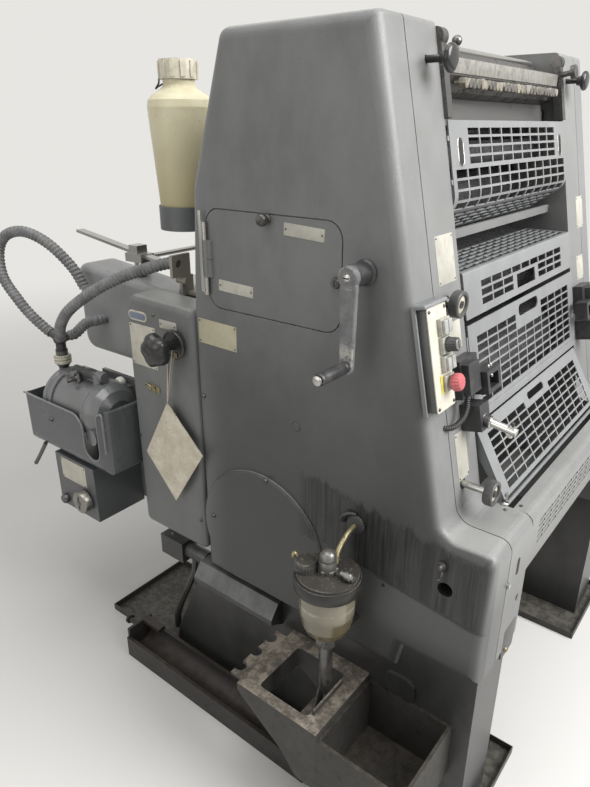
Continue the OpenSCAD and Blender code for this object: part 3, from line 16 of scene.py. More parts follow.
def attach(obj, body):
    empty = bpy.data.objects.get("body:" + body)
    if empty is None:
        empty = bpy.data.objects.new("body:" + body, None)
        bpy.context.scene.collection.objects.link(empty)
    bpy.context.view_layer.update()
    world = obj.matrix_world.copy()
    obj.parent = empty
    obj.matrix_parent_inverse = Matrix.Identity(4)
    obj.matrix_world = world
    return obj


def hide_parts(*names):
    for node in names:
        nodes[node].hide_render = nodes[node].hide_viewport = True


SHIFT = np.array([-13.5, 90.0, 0.0])

# Faces of the housings
COVER_Y = -555.0
FRAME_Y = 351.0
TOP_Z = 1717.0
SHELF_Z = 783.0
FRONT_X = 740.0
SLOPE_HEAD_X = 422.0
SLOPE_FOOT_X = 621.0
SLOPE = math.atan((SLOPE_FOOT_X - SLOPE_HEAD_X) / (TOP_Z - SHELF_Z))
UP = np.array([-math.sin(SLOPE), 0, math.cos(SLOPE)])
OUT = np.array([math.cos(SLOPE), 0, math.sin(SLOPE)])
X, Y, Z = np.eye(3)


def on_front(z, y, up=0.0, out=0.0):
    """Point of the sloping front at height z and across y, moved up the slope and out of it."""
    x = SLOPE_FOOT_X + (SHELF_Z - z) * math.tan(SLOPE)
    return np.array([x, y, z]) + up * UP + out * OUT


# Surfaces: each is a grid of points, its rows closed rings


def quads(rows, cols):
    """Faces of a surface's grid: (i, j), (i, j+1), (i+1, j+1), (i+1, j), with j wrapped."""
    i, j = np.arange(rows - 1)[:, None] * cols, np.arange(cols)[None, :]
    after = (j + 1) % cols
    return np.stack([i + j, i + after, i + cols + after, i + cols + j], -1).reshape(-1, 4)


def basis(axis):
    """Two unit vectors square to axis and to each other."""
    axis = np.asarray(axis, float) / np.linalg.norm(axis)
    side = np.cross(axis, Z if abs(axis[2]) < 0.9 else X)
    side /= np.linalg.norm(side)
    return side, np.cross(axis, side)


def turned(foot, axis, profile, sides=48, lobes=0, depth=0.0):
    """Solid of revolution: foot + d·axis + r·(cos u·a + sin u·b) for (r, d) along the profile.

    With lobes, the radius is r·(1 + depth·cos(lobes·u)), which gives ribs or knurls."""
    axis = np.asarray(axis, float) / np.linalg.norm(axis)
    a, b = basis(axis)
    profile = np.asarray(profile, float)
    u = np.linspace(0, 2 * np.pi, sides, endpoint=False)
    ring = np.cos(u)[:, None] * a + np.sin(u)[:, None] * b
    swell = 1 + depth * np.cos(lobes * u) if lobes else np.ones(sides)
    radius = profile[:, None, 0] * swell[None, :]
    return np.asarray(foot, float) + profile[:, None, None, 1] * axis + radius[..., None] * ring


def smooth_path(points, spacing):
    """Catmull-Rom curve through the points, resampled at even steps of about spacing."""
    p = np.asarray(points, float)
    p = np.vstack([2 * p[0] - p[1], p, 2 * p[-1] - p[-2]])
    t = np.linspace(0, 1, 24, endpoint=False)[:, None]
    parts = [
        0.5 * (2 * b + (c - a) * t + (2 * a - 5 * b + 4 * c - d) * t**2 + (3 * b - a - 3 * c + d) * t**3)
        for a, b, c, d in zip(p[:-3], p[1:-2], p[2:-1], p[3:])
    ]
    curve = np.vstack([*parts, p[-2:-1]])
    step = np.r_[0, np.cumsum(np.linalg.norm(np.diff(curve, axis=0), axis=1))]
    even = np.linspace(0, step[-1], max(3, int(step[-1] / spacing) + 1))
    return np.stack([np.interp(even, step, curve[:, k]) for k in range(3)], 1)


def path_frames(path):
    """Two unit normals along a path, which turn with it as little as they can."""
    tangent = np.gradient(path, axis=0)
    tangent /= np.linalg.norm(tangent, axis=1)[:, None]
    normal = np.empty_like(path)
    normal[0] = basis(tangent[0])[0]
    for k in range(1, len(path)):
        n = normal[k - 1] - tangent[k] * (tangent[k] @ normal[k - 1])
        normal[k] = n / np.linalg.norm(n)
    return normal, np.cross(tangent, normal)


def tube(path, radius, sides=16):
    """Round bar along a path: path(s) + radius(s)·(cos u·n + sin u·b), its ends drawn to a point.

    radius is one number, or an array with a value for each point and angle."""
    path = np.asarray(path, float)
    u = np.linspace(0, 2 * np.pi, sides, endpoint=False)
    n, b = path_frames(path)
    ring = np.cos(u)[None, :, None] * n[:, None] + np.sin(u)[None, :, None] * b[:, None]
    grid = path[:, None] + np.broadcast_to(radius, ring.shape[:2])[..., None] * ring
    ends = [np.repeat(p[:, None], sides, 1) for p in (path[:1], path[-1:])]
    return np.concatenate([ends[0], grid, ends[1]])


def rounded(corners, radius, steps=6):
    """Closed outline with each corner replaced by an arc of its radius, all arrays of (a, b)."""
    p = np.asarray(corners, float)
    r = np.broadcast_to(np.asarray(radius, float), len(p))
    out = []
    for k in range(len(p)):
        q, u, v = p[k], p[k - 1] - p[k], p[(k + 1) % len(p)] - p[k]
        u, v = u / np.linalg.norm(u), v / np.linalg.norm(v)
        half = math.acos(np.clip(u @ v, -1, 1)) / 2
        if r[k] <= 0 or half > math.pi / 2 - 1e-3:
            out.append(q[None])
            continue
        c = q + (u + v) / np.linalg.norm(u + v) * r[k] / math.sin(half)
        e, f = q + u * r[k] / math.tan(half) - c, q + v * r[k] / math.tan(half) - c
        start = math.atan2(e[1], e[0])
        turn = (math.atan2(f[1], f[0]) - start + math.pi) % (2 * math.pi) - math.pi
        angle = start + turn * np.linspace(0, 1, steps + 1)
        out.append(c + r[k] * np.stack([np.cos(angle), np.sin(angle)], 1))
    return np.vstack(out)


def box_outline(w, h, r, steps=6):
    """Rounded rectangle w by h round the origin."""
    return rounded([[-w / 2, -h / 2], [w / 2, -h / 2], [w / 2, h / 2], [-w / 2, h / 2]], r, steps)


def drawn_in(outline, d):
    """Outline moved inwards by d: each point goes along the sum of its two edges' normals."""
    a = outline - np.roll(outline, 1, 0)
    b = np.roll(outline, -1, 0) - outline
    na, nb = (np.stack([-v[:, 1], v[:, 0]], 1) / np.linalg.norm(v, axis=1)[:, None] for v in (a, b))
    return outline + d * (na + nb) / (1 + (na * nb).sum(1))[:, None]


def slab(outline, place, depth, edge=0.0, steps=3, both=True):
    """Plate: the outline at heights 0 to depth, its rims rounded by rings drawn in by edge·(1 - cos t).

    place is (origin, a, b, up): a point is origin + a·x + b·y + up·height. both rounds the lower
    rim too."""
    t = np.linspace(0, np.pi / 2, steps + 1) if edge else np.zeros(1)
    inset, drop = edge * (1 - np.cos(t)), edge * (1 - np.sin(t))
    top = np.stack([inset, depth - drop], 1)
    low = np.stack([inset, drop], 1)[::-1] if both else np.zeros((1, 2))
    origin, a, b, up = (np.asarray(v, float) for v in place)
    rings = []
    for d, height in np.vstack([low, top]):
        ring = drawn_in(outline, d) if d else outline
        rings.append(origin + ring[:, :1] * a + ring[:, 1:] * b + height * up)
    return np.stack(rings)


def block(low, high, r, place):
    """Box with rounded edges on a place: corner centre + r·n, n running over the unit sphere.

    Each angle stops twice where n crosses an axis, so the flats lie between those stops."""
    low, high = np.asarray(low, float), np.asarray(high, float)
    steps = 5
    quarter = np.linspace(0, np.pi / 2, steps)
    u = np.concatenate([quarter + k * np.pi / 2 for k in range(4)])
    v = np.concatenate([quarter - np.pi / 2, quarter])[:, None]
    sx, sy = np.repeat([1, -1, -1, 1], steps), np.repeat([1, 1, -1, -1], steps)
    sz = np.repeat([-1, 1], steps)[:, None]
    n = np.stack([np.cos(v) * np.cos(u), np.cos(v) * np.sin(u), np.sin(v) + 0 * u], -1)
    side = np.stack(np.broadcast_arrays(sx, sy, sz), -1)
    p = (low + high) / 2 + side * ((high - low) / 2 - r) + r * n
    poles = [0 * row + row.mean((0, 1)) for row in (p[:1], p[-1:])]
    p = np.concatenate([poles[0], p, poles[1]])
    origin, a, b, c = (np.asarray(w, float) for w in place)
    return origin + p[..., :1] * a + p[..., 1:2] * b + p[..., 2:] * c


def pierced_sheet(stations, profile, across, is_solid, t):
    """Sheet with square openings, its point (s, y) at profile(s) and the back t behind along the normal.

    stations and across are the lines of its grid; is_solid(s, y) says which cells are metal."""
    s, y = np.unique(np.round(stations, 3)), np.unique(np.round(across, 3))
    front, normal = profile(s)
    rows, cols = len(s), len(y)
    grid = np.repeat(front[:, None], cols, 1) + y[None, :, None] * Y
    sides = np.stack([grid, grid - t * normal[:, None]])
    solid = is_solid(*np.meshgrid((s[1:] + s[:-1]) / 2, (y[1:] + y[:-1]) / 2, indexing="ij"))
    index = np.arange(2 * rows * cols).reshape(2, rows, cols)
    i, j = np.nonzero(solid)
    corners = [(i, j), (i, j + 1), (i + 1, j + 1), (i + 1, j)]
    near, far = index
    faces = [np.stack([near[c] for c in corners], 1), np.stack([far[c] for c in corners[::-1]], 1)]
    edge = np.pad(solid, 1)
    for di, dj, a, b in ((-1, 0, 0, 1), (0, 1, 1, 2), (1, 0, 2, 3), (0, -1, 3, 0)):
        bare = ~edge[i + 1 + di, j + 1 + dj]
        p, q = (tuple(v[bare] for v in corners[k]) for k in (a, b))
        faces.append(np.stack([near[q], near[p], far[p], far[q]], 1))
    faces = np.vstack(faces)
    used, faces = np.unique(faces, return_inverse=True)
    return sides.reshape(-1, 3)[used], faces.reshape(-1, 4)


def ball(centre, r):
    """Sphere as a solid of revolution of its own half circle."""
    sides = 28
    t = np.linspace(-np.pi / 2, np.pi / 2, sides // 2 + 1)
    return turned(centre, Z, np.stack([r * np.cos(t), r * np.sin(t)], 1), sides)


class Piece:
    """Surfaces gathered in millimetres of the press, made one object in the row's frame."""

    def __init__(self, name):
        self.name, self.points, self.faces, self.count = name, [], [], 0

    def add(self, grid, caps=False):
        """Adds a surface; caps fills its first and last ring."""
        rows, cols = grid.shape[:2]
        faces = (quads(rows, cols) + self.count).tolist()
        if caps:
            first = np.arange(cols) + self.count
            faces += [first[::-1].tolist(), (first + (rows - 1) * cols).tolist()]
        self.points.append(grid.reshape(-1, 3))
        self.faces += faces
        self.count += rows * cols
        return self

    def add_mesh(self, points, faces):
        """Adds points with faces that index them."""
        self.points.append(points)
        self.faces += (faces + self.count).tolist()
        self.count += len(points)
        return self

    def done(self, finish, body="press", slot=None, replaces=(), sharp=38):
        """Merges doubles, turns the faces outwards, sets shading and rides on the body."""
        mesh = bpy.data.meshes.new(self.name)
        points = (np.vstack(self.points) + SHIFT) / 1000
        mesh.from_pydata(points.tolist(), [], self.faces)
        return settle(mesh, self.name, finish, body, replaces, sharp)


def refill_side(bm):
    """Fills a copied cover's outer face anew inside its own edges, where its triangles lie folded."""
    reach = max((v.co.y for v in bm.verts), key=lambda y: abs(y - SHIFT[1] / 1000))
    flat = {f for f in bm.faces if all(abs(v.co.y - reach) < 1e-6 for v in f.verts)}
    if not flat:
        return
    border = [e for f in flat for e in f.edges if sum(g in flat for g in e.link_faces) == 1]
    bmesh.ops.delete(bm, geom=list(flat), context="FACES_KEEP_BOUNDARY")
    border = [e for e in border if e.is_valid]
    outward = 1.0 if reach > SHIFT[1] / 1000 else -1.0
    made = bmesh.ops.triangle_fill(bm, use_beauty=True, edges=border, normal=(0, outward, 0))
    for f in made["geom"]:
        if isinstance(f, bmesh.types.BMFace) and f.normal.y * outward < 0:
            f.normal_flip()


def settle(mesh, name, finish, body, replaces=(), sharp=38, copied=False):
    """Cleans a mesh and makes it a piece that rides on a body; a copied CAD mesh keeps its facing."""
    bm = bmesh.new()
    bm.from_mesh(mesh)
    bmesh.ops.remove_doubles(bm, verts=bm.verts, dist=2e-6)
    bmesh.ops.dissolve_degenerate(bm, edges=bm.edges, dist=1e-7)
    if copied:
        refill_side(bm)
    else:
        bmesh.ops.recalc_face_normals(bm, faces=bm.faces)
    for f in bm.faces:
        f.smooth = True
    for e in bm.edges:
        thin = min((f.calc_area() / max(g.calc_length() for g in f.edges) for f in e.link_faces), default=1)
        e.smooth = len(e.link_faces) == 2 and (e.calc_face_angle(0) < math.radians(sharp) or thin < 2e-5)
    bm.to_mesh(mesh)
    bm.free()
    piece = bpy.data.objects.new(name, mesh)
    bpy.context.scene.collection.objects.link(piece)
    mesh.materials.append(finish)
    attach(piece, body)
    if replaces:
        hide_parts(*replaces)
    return piece


def smooth_copy(node, finish):
    """Copy of a CAD node with its doubles merged and its rounded edges shaded smoothly."""
    mesh = nodes[node].data.copy()
    mesh.materials.clear()
    for old in [a.name for a in mesh.attributes if "normal" in a.name or "sharp" in a.name]:
        mesh.attributes.remove(mesh.attributes[old])
    piece = settle(mesh, node + "_skin", finish, "press", (node,), copied=True)
    even = piece.modifiers.new("flat_faces", "WEIGHTED_NORMAL")
    even.keep_sharp = True
    even.weight = 100


# Finishes


class Value:
    """A socket of a finish. +, -, *, / and ** on it add Math nodes."""

    def __init__(self, finish, socket):
        self.finish, self.socket = finish, socket

    def _math(self, operation, other, flipped=False):
        pair = (other, self) if flipped else (self, other)
        return self.finish.node("Math", {"operation": operation}, dict(enumerate(pair)))

    def __add__(self, other):
        return self._math("ADD", other)

    def __radd__(self, other):
        return self._math("ADD", other, True)

    def __sub__(self, other):
        return self._math("SUBTRACT", other)

    def __rsub__(self, other):
        return self._math("SUBTRACT", other, True)

    def __mul__(self, other):
        return self._math("MULTIPLY", other)

    def __rmul__(self, other):
        return self._math("MULTIPLY", other, True)

    def __truediv__(self, other):
        return self._math("DIVIDE", other)

    def __pow__(self, other):
        return self._math("POWER", other)

    def most(self, other):
        return self._math("MAXIMUM", other)

    def size(self):
        return self.finish.node("Math", {"operation": "ABSOLUTE"}, {0: self})


class Finish:
    """One material under construction, in Object coordinates, which are metres of the row's frame."""

    def __init__(self, name):
        self.material = bpy.data.materials.new(name)
        self.material.use_nodes = True
        self.tree = self.material.node_tree
        self.tree.nodes.clear()
        coordinates = self.tree.nodes.new("ShaderNodeTexCoord")
        self.place = Value(self, coordinates.outputs["Object"])
        self.normal = Value(self, coordinates.outputs["Normal"])

    def node(self, kind, settings=None, values=None, output=0):
        """Adds one node: its settings first, then its sockets' values or links."""
        made = self.tree.nodes.new("ShaderNode" + kind)
        for key, value in (settings or {}).items():
            setattr(made, key, value)
        for key, value in (values or {}).items():
            if isinstance(value, Value):
                self.tree.links.new(value.socket, made.inputs[key])
            else:
                made.inputs[key].default_value = value
        return Value(self, made.outputs[output])

    def axes(self, vector=None):
        """The three parts of a vector, or else of the place."""
        split = self.node("SeparateXYZ", {}, {0: vector or self.place})
        return [Value(self, s) for s in split.socket.node.outputs]

    def stretched(self, scale, turn=(0, 0, 0)):
        """Coordinates scaled per axis, and turned about the origin, in radians."""
        return self.node("Mapping", {}, {"Vector": self.place, "Rotation": turn, "Scale": scale})

    def noise(self, scale, detail=3.0, rough=0.55, vector=None):
        values = {"Vector": vector or self.place, "Scale": scale, "Detail": detail, "Roughness": rough}
        return self.node("TexNoise", {}, values)

    def cells(self, scale):
        return self.node("TexVoronoi", {}, {"Vector": self.place, "Scale": scale})

    def band(self, value, low, high):
        """Smooth step: 0 where value is at low, 1 where it is at high, whichever is larger."""
        values = {"Value": value, "From Min": low, "From Max": high}
        return self.node("MapRange", {"interpolation_type": "SMOOTHSTEP"}, values)

    def within(self, value, low, high, soft):
        """1 where value lies between low and high, falling to 0 over soft on both sides."""
        return self.band(value, low - soft, low + soft) * self.band(value, high + soft, high - soft)

    def mix(self, factor, a, b):
        values = {0: factor, 6: rgba(a), 7: rgba(b)}
        return self.node("Mix", {"data_type": "RGBA"}, values, 2)

    def bump(self, height, distance, strength=1.0, under=None):
        values = {"Height": height, "Distance": distance, "Strength": strength}
        if under is not None:
            values["Normal"] = under
        return self.node("Bump", {}, values)

    def worn_edges(self, radius=0.003):
        """1 on edges: how far the normal rounded over radius departs from the true one."""
        soft = self.node("Bevel", {"samples": 3}, {"Radius": radius})
        true = self.node("NewGeometry", output=1)
        dot = self.node("VectorMath", {"operation": "DOT_PRODUCT"}, {0: soft, 1: true}, 1)
        return self.band(1.0 - dot, 0.02, 0.16)

    def coat(self, colour, rough, metal=0.0, normal=None, **fixed):
        """Principled surface: colour, roughness, metal and normal may vary, the rest is fixed."""
        values = {"Base Color": rgba(colour), "Roughness": rough, "Metallic": metal}
        values.update({k.replace("_", " "): v for k, v in fixed.items()})
        if normal is not None:
            values["Normal"] = normal
        surface = self.node("BsdfPrincipled", {}, values)
        self.node_out(surface)
        return self.material

    def node_out(self, surface):
        out = self.tree.nodes.new("ShaderNodeOutputMaterial")
        self.tree.links.new(surface.socket, out.inputs["Surface"])


def rgba(colour):
    """Three parts of a colour with an alpha of 1; a Value or a full colour stays as it is."""
    return (*colour, 1.0) if isinstance(colour, tuple) and len(colour) == 3 else colour


def shade(tone, share):
    """A colour with each part times share."""
    return tuple(c * share for c in tone)


def enamel(name, tone, grime=0.5, drips=0.0, gloss=0.36, wear=0.25, front=1.0, peel=0.4, painted_shading=0.0,
           dust_on=0.5, shine=0.5, ledge_light=0.0):
    """Grey machine enamel: broad uneven shade, orange peel, dust, an oily film low down.

    drips adds the wide oil stain of the operator's side: upright runs between a ragged upper
    edge and a lower edge that falls towards the delivery. front paints light on the faces
    towards +X, less of it low down. painted_shading paints shade on the side and end faces low
    down and paints light on the faces that look straight up, and ledge_light paints light on the
    sloping faces that look up."""
    f = Finish(name)
    x, _, z = f.axes()
    nx, ny, nz = f.axes(f.normal)
    broad = f.noise(2.6, 4.0, 0.6)
    smudge = f.noise(13.0, 5.0, 0.65, f.stretched((1, 1, 0.45)))
    speck = f.noise(160.0, 2.0, 0.7)
    light = shade(tone, 1.13)
    colour = f.mix(f.band(broad * 0.6 + smudge * 0.4, 0.36, 0.64), shade(tone, 0.84), light)
    dust = f.band(speck, 0.62, 0.72) * f.band(nz, 0.2, 0.8) * dust_on
    colour = f.mix(dust, colour, (0.30, 0.29, 0.27))
    # Painted shade: side faces past the feeder and faces towards +X are darkened low down.
    side = f.band(ny.size(), 0.3, 0.8) * f.band(x, -0.12, 0.04)
    side = side * f.band(z + 0.12 * (broad - 0.5), 1.38, 0.72)
    end = f.band(nx, 0.5, 0.9) * f.band(z, 0.82, 0.60) * 0.9
    colour = f.mix(side.most(end) * painted_shading, colour, shade(tone, 0.30))
    # Painted light: faces that look straight up are lightened.
    colour = f.mix(f.band(nz, 0.7, 0.95) * painted_shading * 0.4, colour, (0.42, 0.42, 0.40))
    # Painted light: sloping faces that look up are lightened, in patches.
    colour = f.mix(f.band(nz, 0.3, 0.7) * (0.4 + 0.6 * smudge) * ledge_light, colour, (0.23, 0.235, 0.235))
    film = f.band(z, 0.75, 0.30) * f.band(smudge * 0.5 + broad * 0.5, 0.34, 0.66) * grime
    colour = f.mix(film, colour, shade(tone, 0.30))
    if drips:
        towards = f.band(ny, -0.4, -0.8)
        runs = f.noise(1.0, 4.0, 0.6, f.stretched((55, 30, 2.2)))
        fine = f.noise(1.0, 3.0, 0.6, f.stretched((190, 80, 6.0)))
        ragged = f.noise(1.0, 4.0, 0.7, f.stretched((38, 20, 9.0))) - 0.5
        upper = 0.80 - (x - 0.45) * 0.14 + ragged * 0.07
        lower = 0.632 - (x - 0.45) * 0.12 + ragged * 0.012
        stain = f.band(z - lower, 0.0, 0.006) * f.band(upper - z, 0.0, 0.02)
        stain = stain * f.band(x, 0.24, 0.30) * f.band(x, 0.72, 0.70) * towards
        streak = f.band(runs * 0.45 + fine * 0.35 + smudge * 0.2, 0.38, 0.62)
        crust = f.band(upper - z, 0.030, 0.008) * f.band(speck * 0.4 + smudge * 0.6, 0.42, 0.54)
        streak = streak.most(crust * 0.8)
        run_off = f.mix(streak, shade(tone, 0.34), shade(tone, 0.10))
        colour = f.mix(stain * drips, colour, run_off)
        edge = f.band((z - lower).size(), 0.005, 0.0015) * f.band(x, 0.46, 0.49) * towards
        colour = f.mix(edge * 0.8, colour, shade(tone, 0.20))
        below = f.band(lower - z, 0.0, 0.01) * f.band(z, 0.47, 0.55) * f.band(x, 0.42, 0.50) * towards
        colour = f.mix(below * 0.30, colour, light)
        film = film.most(stain * 0.7)
    chips = f.band(f.noise(42.0, 6.0, 0.75), 0.46, 0.60)
    colour = f.mix(f.worn_edges() * chips * wear, colour, (0.42, 0.41, 0.39))
    if front != 1.0:
        # Painted light: faces towards +X are lightened, less so low down on those facing straight +X.
        painted_side_light = f.band(nx, 0.35, 0.9) * (1 - 0.8 * f.band(z, 0.80, 0.62) * f.band(nx, 0.9, 0.98))
        colour = f.mix(painted_side_light * (front - 1.0), colour, (0.44, 0.44, 0.43))
    fleck = f.noise(430.0, 2.0, 0.5)
    rough = gloss + 0.16 * (smudge - 0.5) - 0.12 * film + 0.2 * dust
    ripple = f.bump(fleck, 0.0010, peel, f.bump(f.noise(34.0, 2.0, 0.5), 0.002, 0.10))
    return f.coat(colour, rough, 0.0, ripple, Specular_IOR_Level=shine)


def metal(name, tone, dirt, rough=0.34, dirt_share=0.5, shine=0.95):
    """Machined or oily steel: fine grain drawn across the press, dirt in patches that dulls it."""
    f = Finish(name)
    lines = f.noise(1.0, 3.0, 0.6, f.stretched((300, 6, 300)))
    patch = f.noise(22.0, 6.0, 0.7)
    small = f.noise(140.0, 4.0, 0.7)
    cover = f.band(patch * 0.65 + small * 0.35, 0.60 - 0.2 * dirt_share, 0.72 - 0.2 * dirt_share)
    colour = f.mix(cover, f.mix(lines, shade(tone, 0.82), tone), dirt)
    sheen = rough + 0.14 * (lines - 0.5) + 0.3 * cover
    shape = f.bump(lines, 0.0003, 0.35, f.bump(small, 0.0006, 0.25))
    return f.coat(colour, sheen, shine - 0.8 * cover * shine, shape)


def plastic(name, tone, rough=0.42, grime=0.35, dirt=(0.05, 0.045, 0.04), bump=0.15):
    """Moulded plastic with a fine grain and thumbed dirt that gathers in patches."""
    f = Finish(name)
    patch = f.noise(36.0, 5.0, 0.7)
    fine = f.noise(260.0, 3.0, 0.6)
    colour = f.mix(f.band(patch, 0.40, 0.66) * grime, tone, dirt)
    colour = f.mix(f.band(fine, 0.58, 0.75) * grime * 0.5, colour, dirt)
    return f.coat(colour, rough + 0.2 * (patch - 0.5), 0.0, f.bump(fine, 0.0004, bump))


def plate_finish(name, tone, grime=0.4):
    """Lacquered plate or paper label, bare: yellowed unevenly, smudged, with tiny specks."""
    f = Finish(name)
    broad = f.noise(18.0, 4.0, 0.65)
    smear = f.noise(70.0, 5.0, 0.7, f.stretched((1, 1, 0.4)))
    colour = f.mix(f.band(broad, 0.35, 0.65), tone, shade(tone, 0.84))
    colour = f.mix(f.band(smear, 0.56, 0.72) * grime, colour, (0.22, 0.20, 0.16))
    specks = f.band(f.cells(240.0), 0.16, 0.08) * 0.5
    colour = f.mix(specks, colour, (0.16, 0.14, 0.11))
    return f.coat(colour, 0.45 + 0.2 * (smear - 0.5), 0.0, f.bump(smear, 0.0004, 0.2))


def casting(name, tone, rim, film=0.4, rough=0.6, share=0.85):
    """Worn paint over rough casting: dark greasy walls, and upward faces rubbed to mottled rust."""
    f = Finish(name)
    nz = f.axes(f.normal)[2]
    broad = f.noise(9.0, 6.0, 0.7)
    coarse = f.noise(45.0, 8.0, 0.75)
    grit = f.noise(260.0, 4.0, 0.75)
    colour = f.mix(f.band(broad, 0.34, 0.66), tone, shade(tone, 1.35))
    colour = f.mix(f.band(coarse, 0.52, 0.68) * film, colour, shade(tone, 0.3))
    mottle = f.mix(f.band(coarse * 0.6 + broad * 0.4, 0.40, 0.58), rim, shade(rim, 0.30))
    colour = f.mix(f.band(nz, 0.5, 0.95) * share, colour, mottle)
    colour = f.mix(f.band(grit, 0.62, 0.76) * 0.35, colour, shade(rim, 0.9))
    shape = f.bump(grit, 0.0012, 0.5, f.bump(coarse, 0.003, 0.4))
    return f.coat(colour, rough + 0.25 * (coarse - 0.5), 0.0, shape, Specular_IOR_Level=0.3)


def lever_finish():
    """Grey enamel on the crank's lever, rubbed through to bright steel on its edges and low end."""
    f = Finish("lever_enamel")
    z = f.axes()[2]
    patch = f.noise(38.0, 6.0, 0.7)
    fine = f.noise(210.0, 4.0, 0.7)
    tone = f.mix(f.band(patch, 0.35, 0.65), (0.115, 0.118, 0.12), (0.17, 0.172, 0.174))
    bare = f.worn_edges(0.004).most(f.band(z + 0.05 * patch, 1.205, 1.175) * 0.8)
    bare = bare * f.band(fine * 0.4 + patch * 0.6, 0.42, 0.56)
    colour = f.mix(bare, tone, (0.50, 0.48, 0.44))
    return f.coat(colour, 0.34 + 0.16 * (patch - 0.5), bare * 0.8, f.bump(fine, 0.0004, 0.25))


def bottle_finish():
    """Yellowed milky plastic: darker low down, where water stands, with dark specks."""
    f = Finish("yellowed_bottle")
    z = f.axes()[2]
    broad = f.noise(9.0, 4.0, 0.6)
    colour = f.mix(f.band(z + 0.04 * broad, 1.35, 1.62), (0.40, 0.35, 0.20), (0.58, 0.54, 0.38))
    colour = f.mix(f.band(broad, 0.42, 0.7) * 0.35, colour, (0.34, 0.29, 0.17))
    specks = f.band(f.cells(95.0), 0.15, 0.06) * f.band(f.noise(14.0, 2.0), 0.45, 0.6)
    colour = f.mix(specks * 0.8, colour, (0.07, 0.06, 0.045))
    shape = f.bump(f.noise(55.0, 3.0), 0.001, 0.2)
    return f.coat(colour, 0.38 + 0.2 * (broad - 0.5), 0.0, shape, Subsurface_Weight=0.18,
                  Subsurface_Radius=(0.02, 0.015, 0.008))


def hose_finish():
    """Dusty grey spiral hose: patches of shade, and dust that lies on top."""
    f = Finish("hose_grey")
    nz = f.axes(f.normal)[2]
    patch = f.noise(26.0, 5.0, 0.7)
    fine = f.noise(300.0, 3.0, 0.7)
    colour = f.mix(f.band(patch, 0.35, 0.68), (0.100, 0.102, 0.104), (0.185, 0.186, 0.186))
    colour = f.mix(f.band(nz, 0.1, 0.9) * f.band(fine, 0.4, 0.65) * 0.4, colour, (0.30, 0.29, 0.28))
    return f.coat(colour, 0.55 + 0.2 * (patch - 0.5), 0.0, f.bump(fine, 0.0004, 0.3))


def card_finish():
    """Stained board: brown blotches, fine fibres and dark specks."""
    f = Finish("stained_card")
    blotch = f.noise(16.0, 6.0, 0.72)
    fibre = f.noise(1.0, 4.0, 0.65, f.stretched((90, 90, 260), (0, 0.7, 0)))
    speck = f.noise(190.0, 3.0, 0.75)
    colour = f.mix(f.band(blotch, 0.34, 0.62), (0.60, 0.56, 0.46), (0.47, 0.42, 0.33))
    colour = f.mix(f.band(fibre, 0.52, 0.70) * 0.45, colour, (0.30, 0.25, 0.18))
    colour = f.mix(f.band(speck, 0.62, 0.70) * 0.7, colour, (0.14, 0.11, 0.08))
    return f.coat(colour, 0.82, 0.0, f.bump(fibre, 0.0005, 0.3))


def amber_finish():
    """Oily amber bowl: light comes through weakly, darker where the oil stands."""
    f = Finish("amber_bowl")
    z = f.axes()[2]
    swirl = f.noise(24.0, 4.0, 0.6)
    colour = f.mix(f.band(z + 0.012 * swirl, 0.575, 0.60), (0.17, 0.145, 0.085), (0.27, 0.25, 0.18))
    ring = f.within(z, 0.597, 0.604, 0.003) * f.band(swirl, 0.40, 0.60)
    colour = f.mix(ring * 0.7, colour, (0.55, 0.52, 0.42))
    return f.coat(colour, 0.16 + 0.15 * swirl, 0.0, None, Transmission_Weight=0.35, IOR=1.47,
                  Coat_Weight=0.4)


def scale_finish():
    """Engraved steel scale: short dark ticks every 20 mm across the press, full ones every 100 mm."""
    f = Finish("engraved_scale")
    _, y, z = f.axes()
    wear = f.noise(60.0, 5.0, 0.7)

    def ticks(pitch, width):
        """1 on lines square to Y, one in each pitch."""
        share = f.node("Math", {"operation": "FRACT"}, {0: y / pitch})
        return f.band((share - 0.5).size(), 0.5 - width, 0.5 - width * 0.4)

    short = ticks(0.020, 0.045) * f.band(z, 1.650, 1.646)
    long = ticks(0.100, 0.014)
    colour = f.mix(f.band(wear, 0.4, 0.7), (0.31, 0.30, 0.275), (0.20, 0.19, 0.17))
    colour = f.mix(short.most(long) * 0.6, colour, (0.03, 0.03, 0.03))
    return f.coat(colour, 0.45, 0.35, f.bump(wear, 0.0003, 0.2))


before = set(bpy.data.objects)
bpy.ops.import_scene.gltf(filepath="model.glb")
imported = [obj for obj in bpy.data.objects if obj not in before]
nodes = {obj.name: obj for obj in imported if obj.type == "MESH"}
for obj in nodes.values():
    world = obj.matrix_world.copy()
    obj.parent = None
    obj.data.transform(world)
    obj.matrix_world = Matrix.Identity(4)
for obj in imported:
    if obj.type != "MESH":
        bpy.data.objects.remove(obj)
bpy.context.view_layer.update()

cover_paint = enamel("cover_enamel", (0.152, 0.155, 0.153), grime=0.45, drips=0.95, gloss=0.33, wear=0.22,
                     front=1.16, peel=0.5, painted_shading=0.88, shine=0.30)
frame_paint = enamel("frame_enamel", (0.156, 0.158, 0.155), grime=0.3, gloss=0.33, wear=0.35, front=1.16,
                     painted_shading=0.55)
arm_paint = enamel("arm_enamel", (0.225, 0.230, 0.230), grime=0.3, wear=0.2, gloss=0.30)
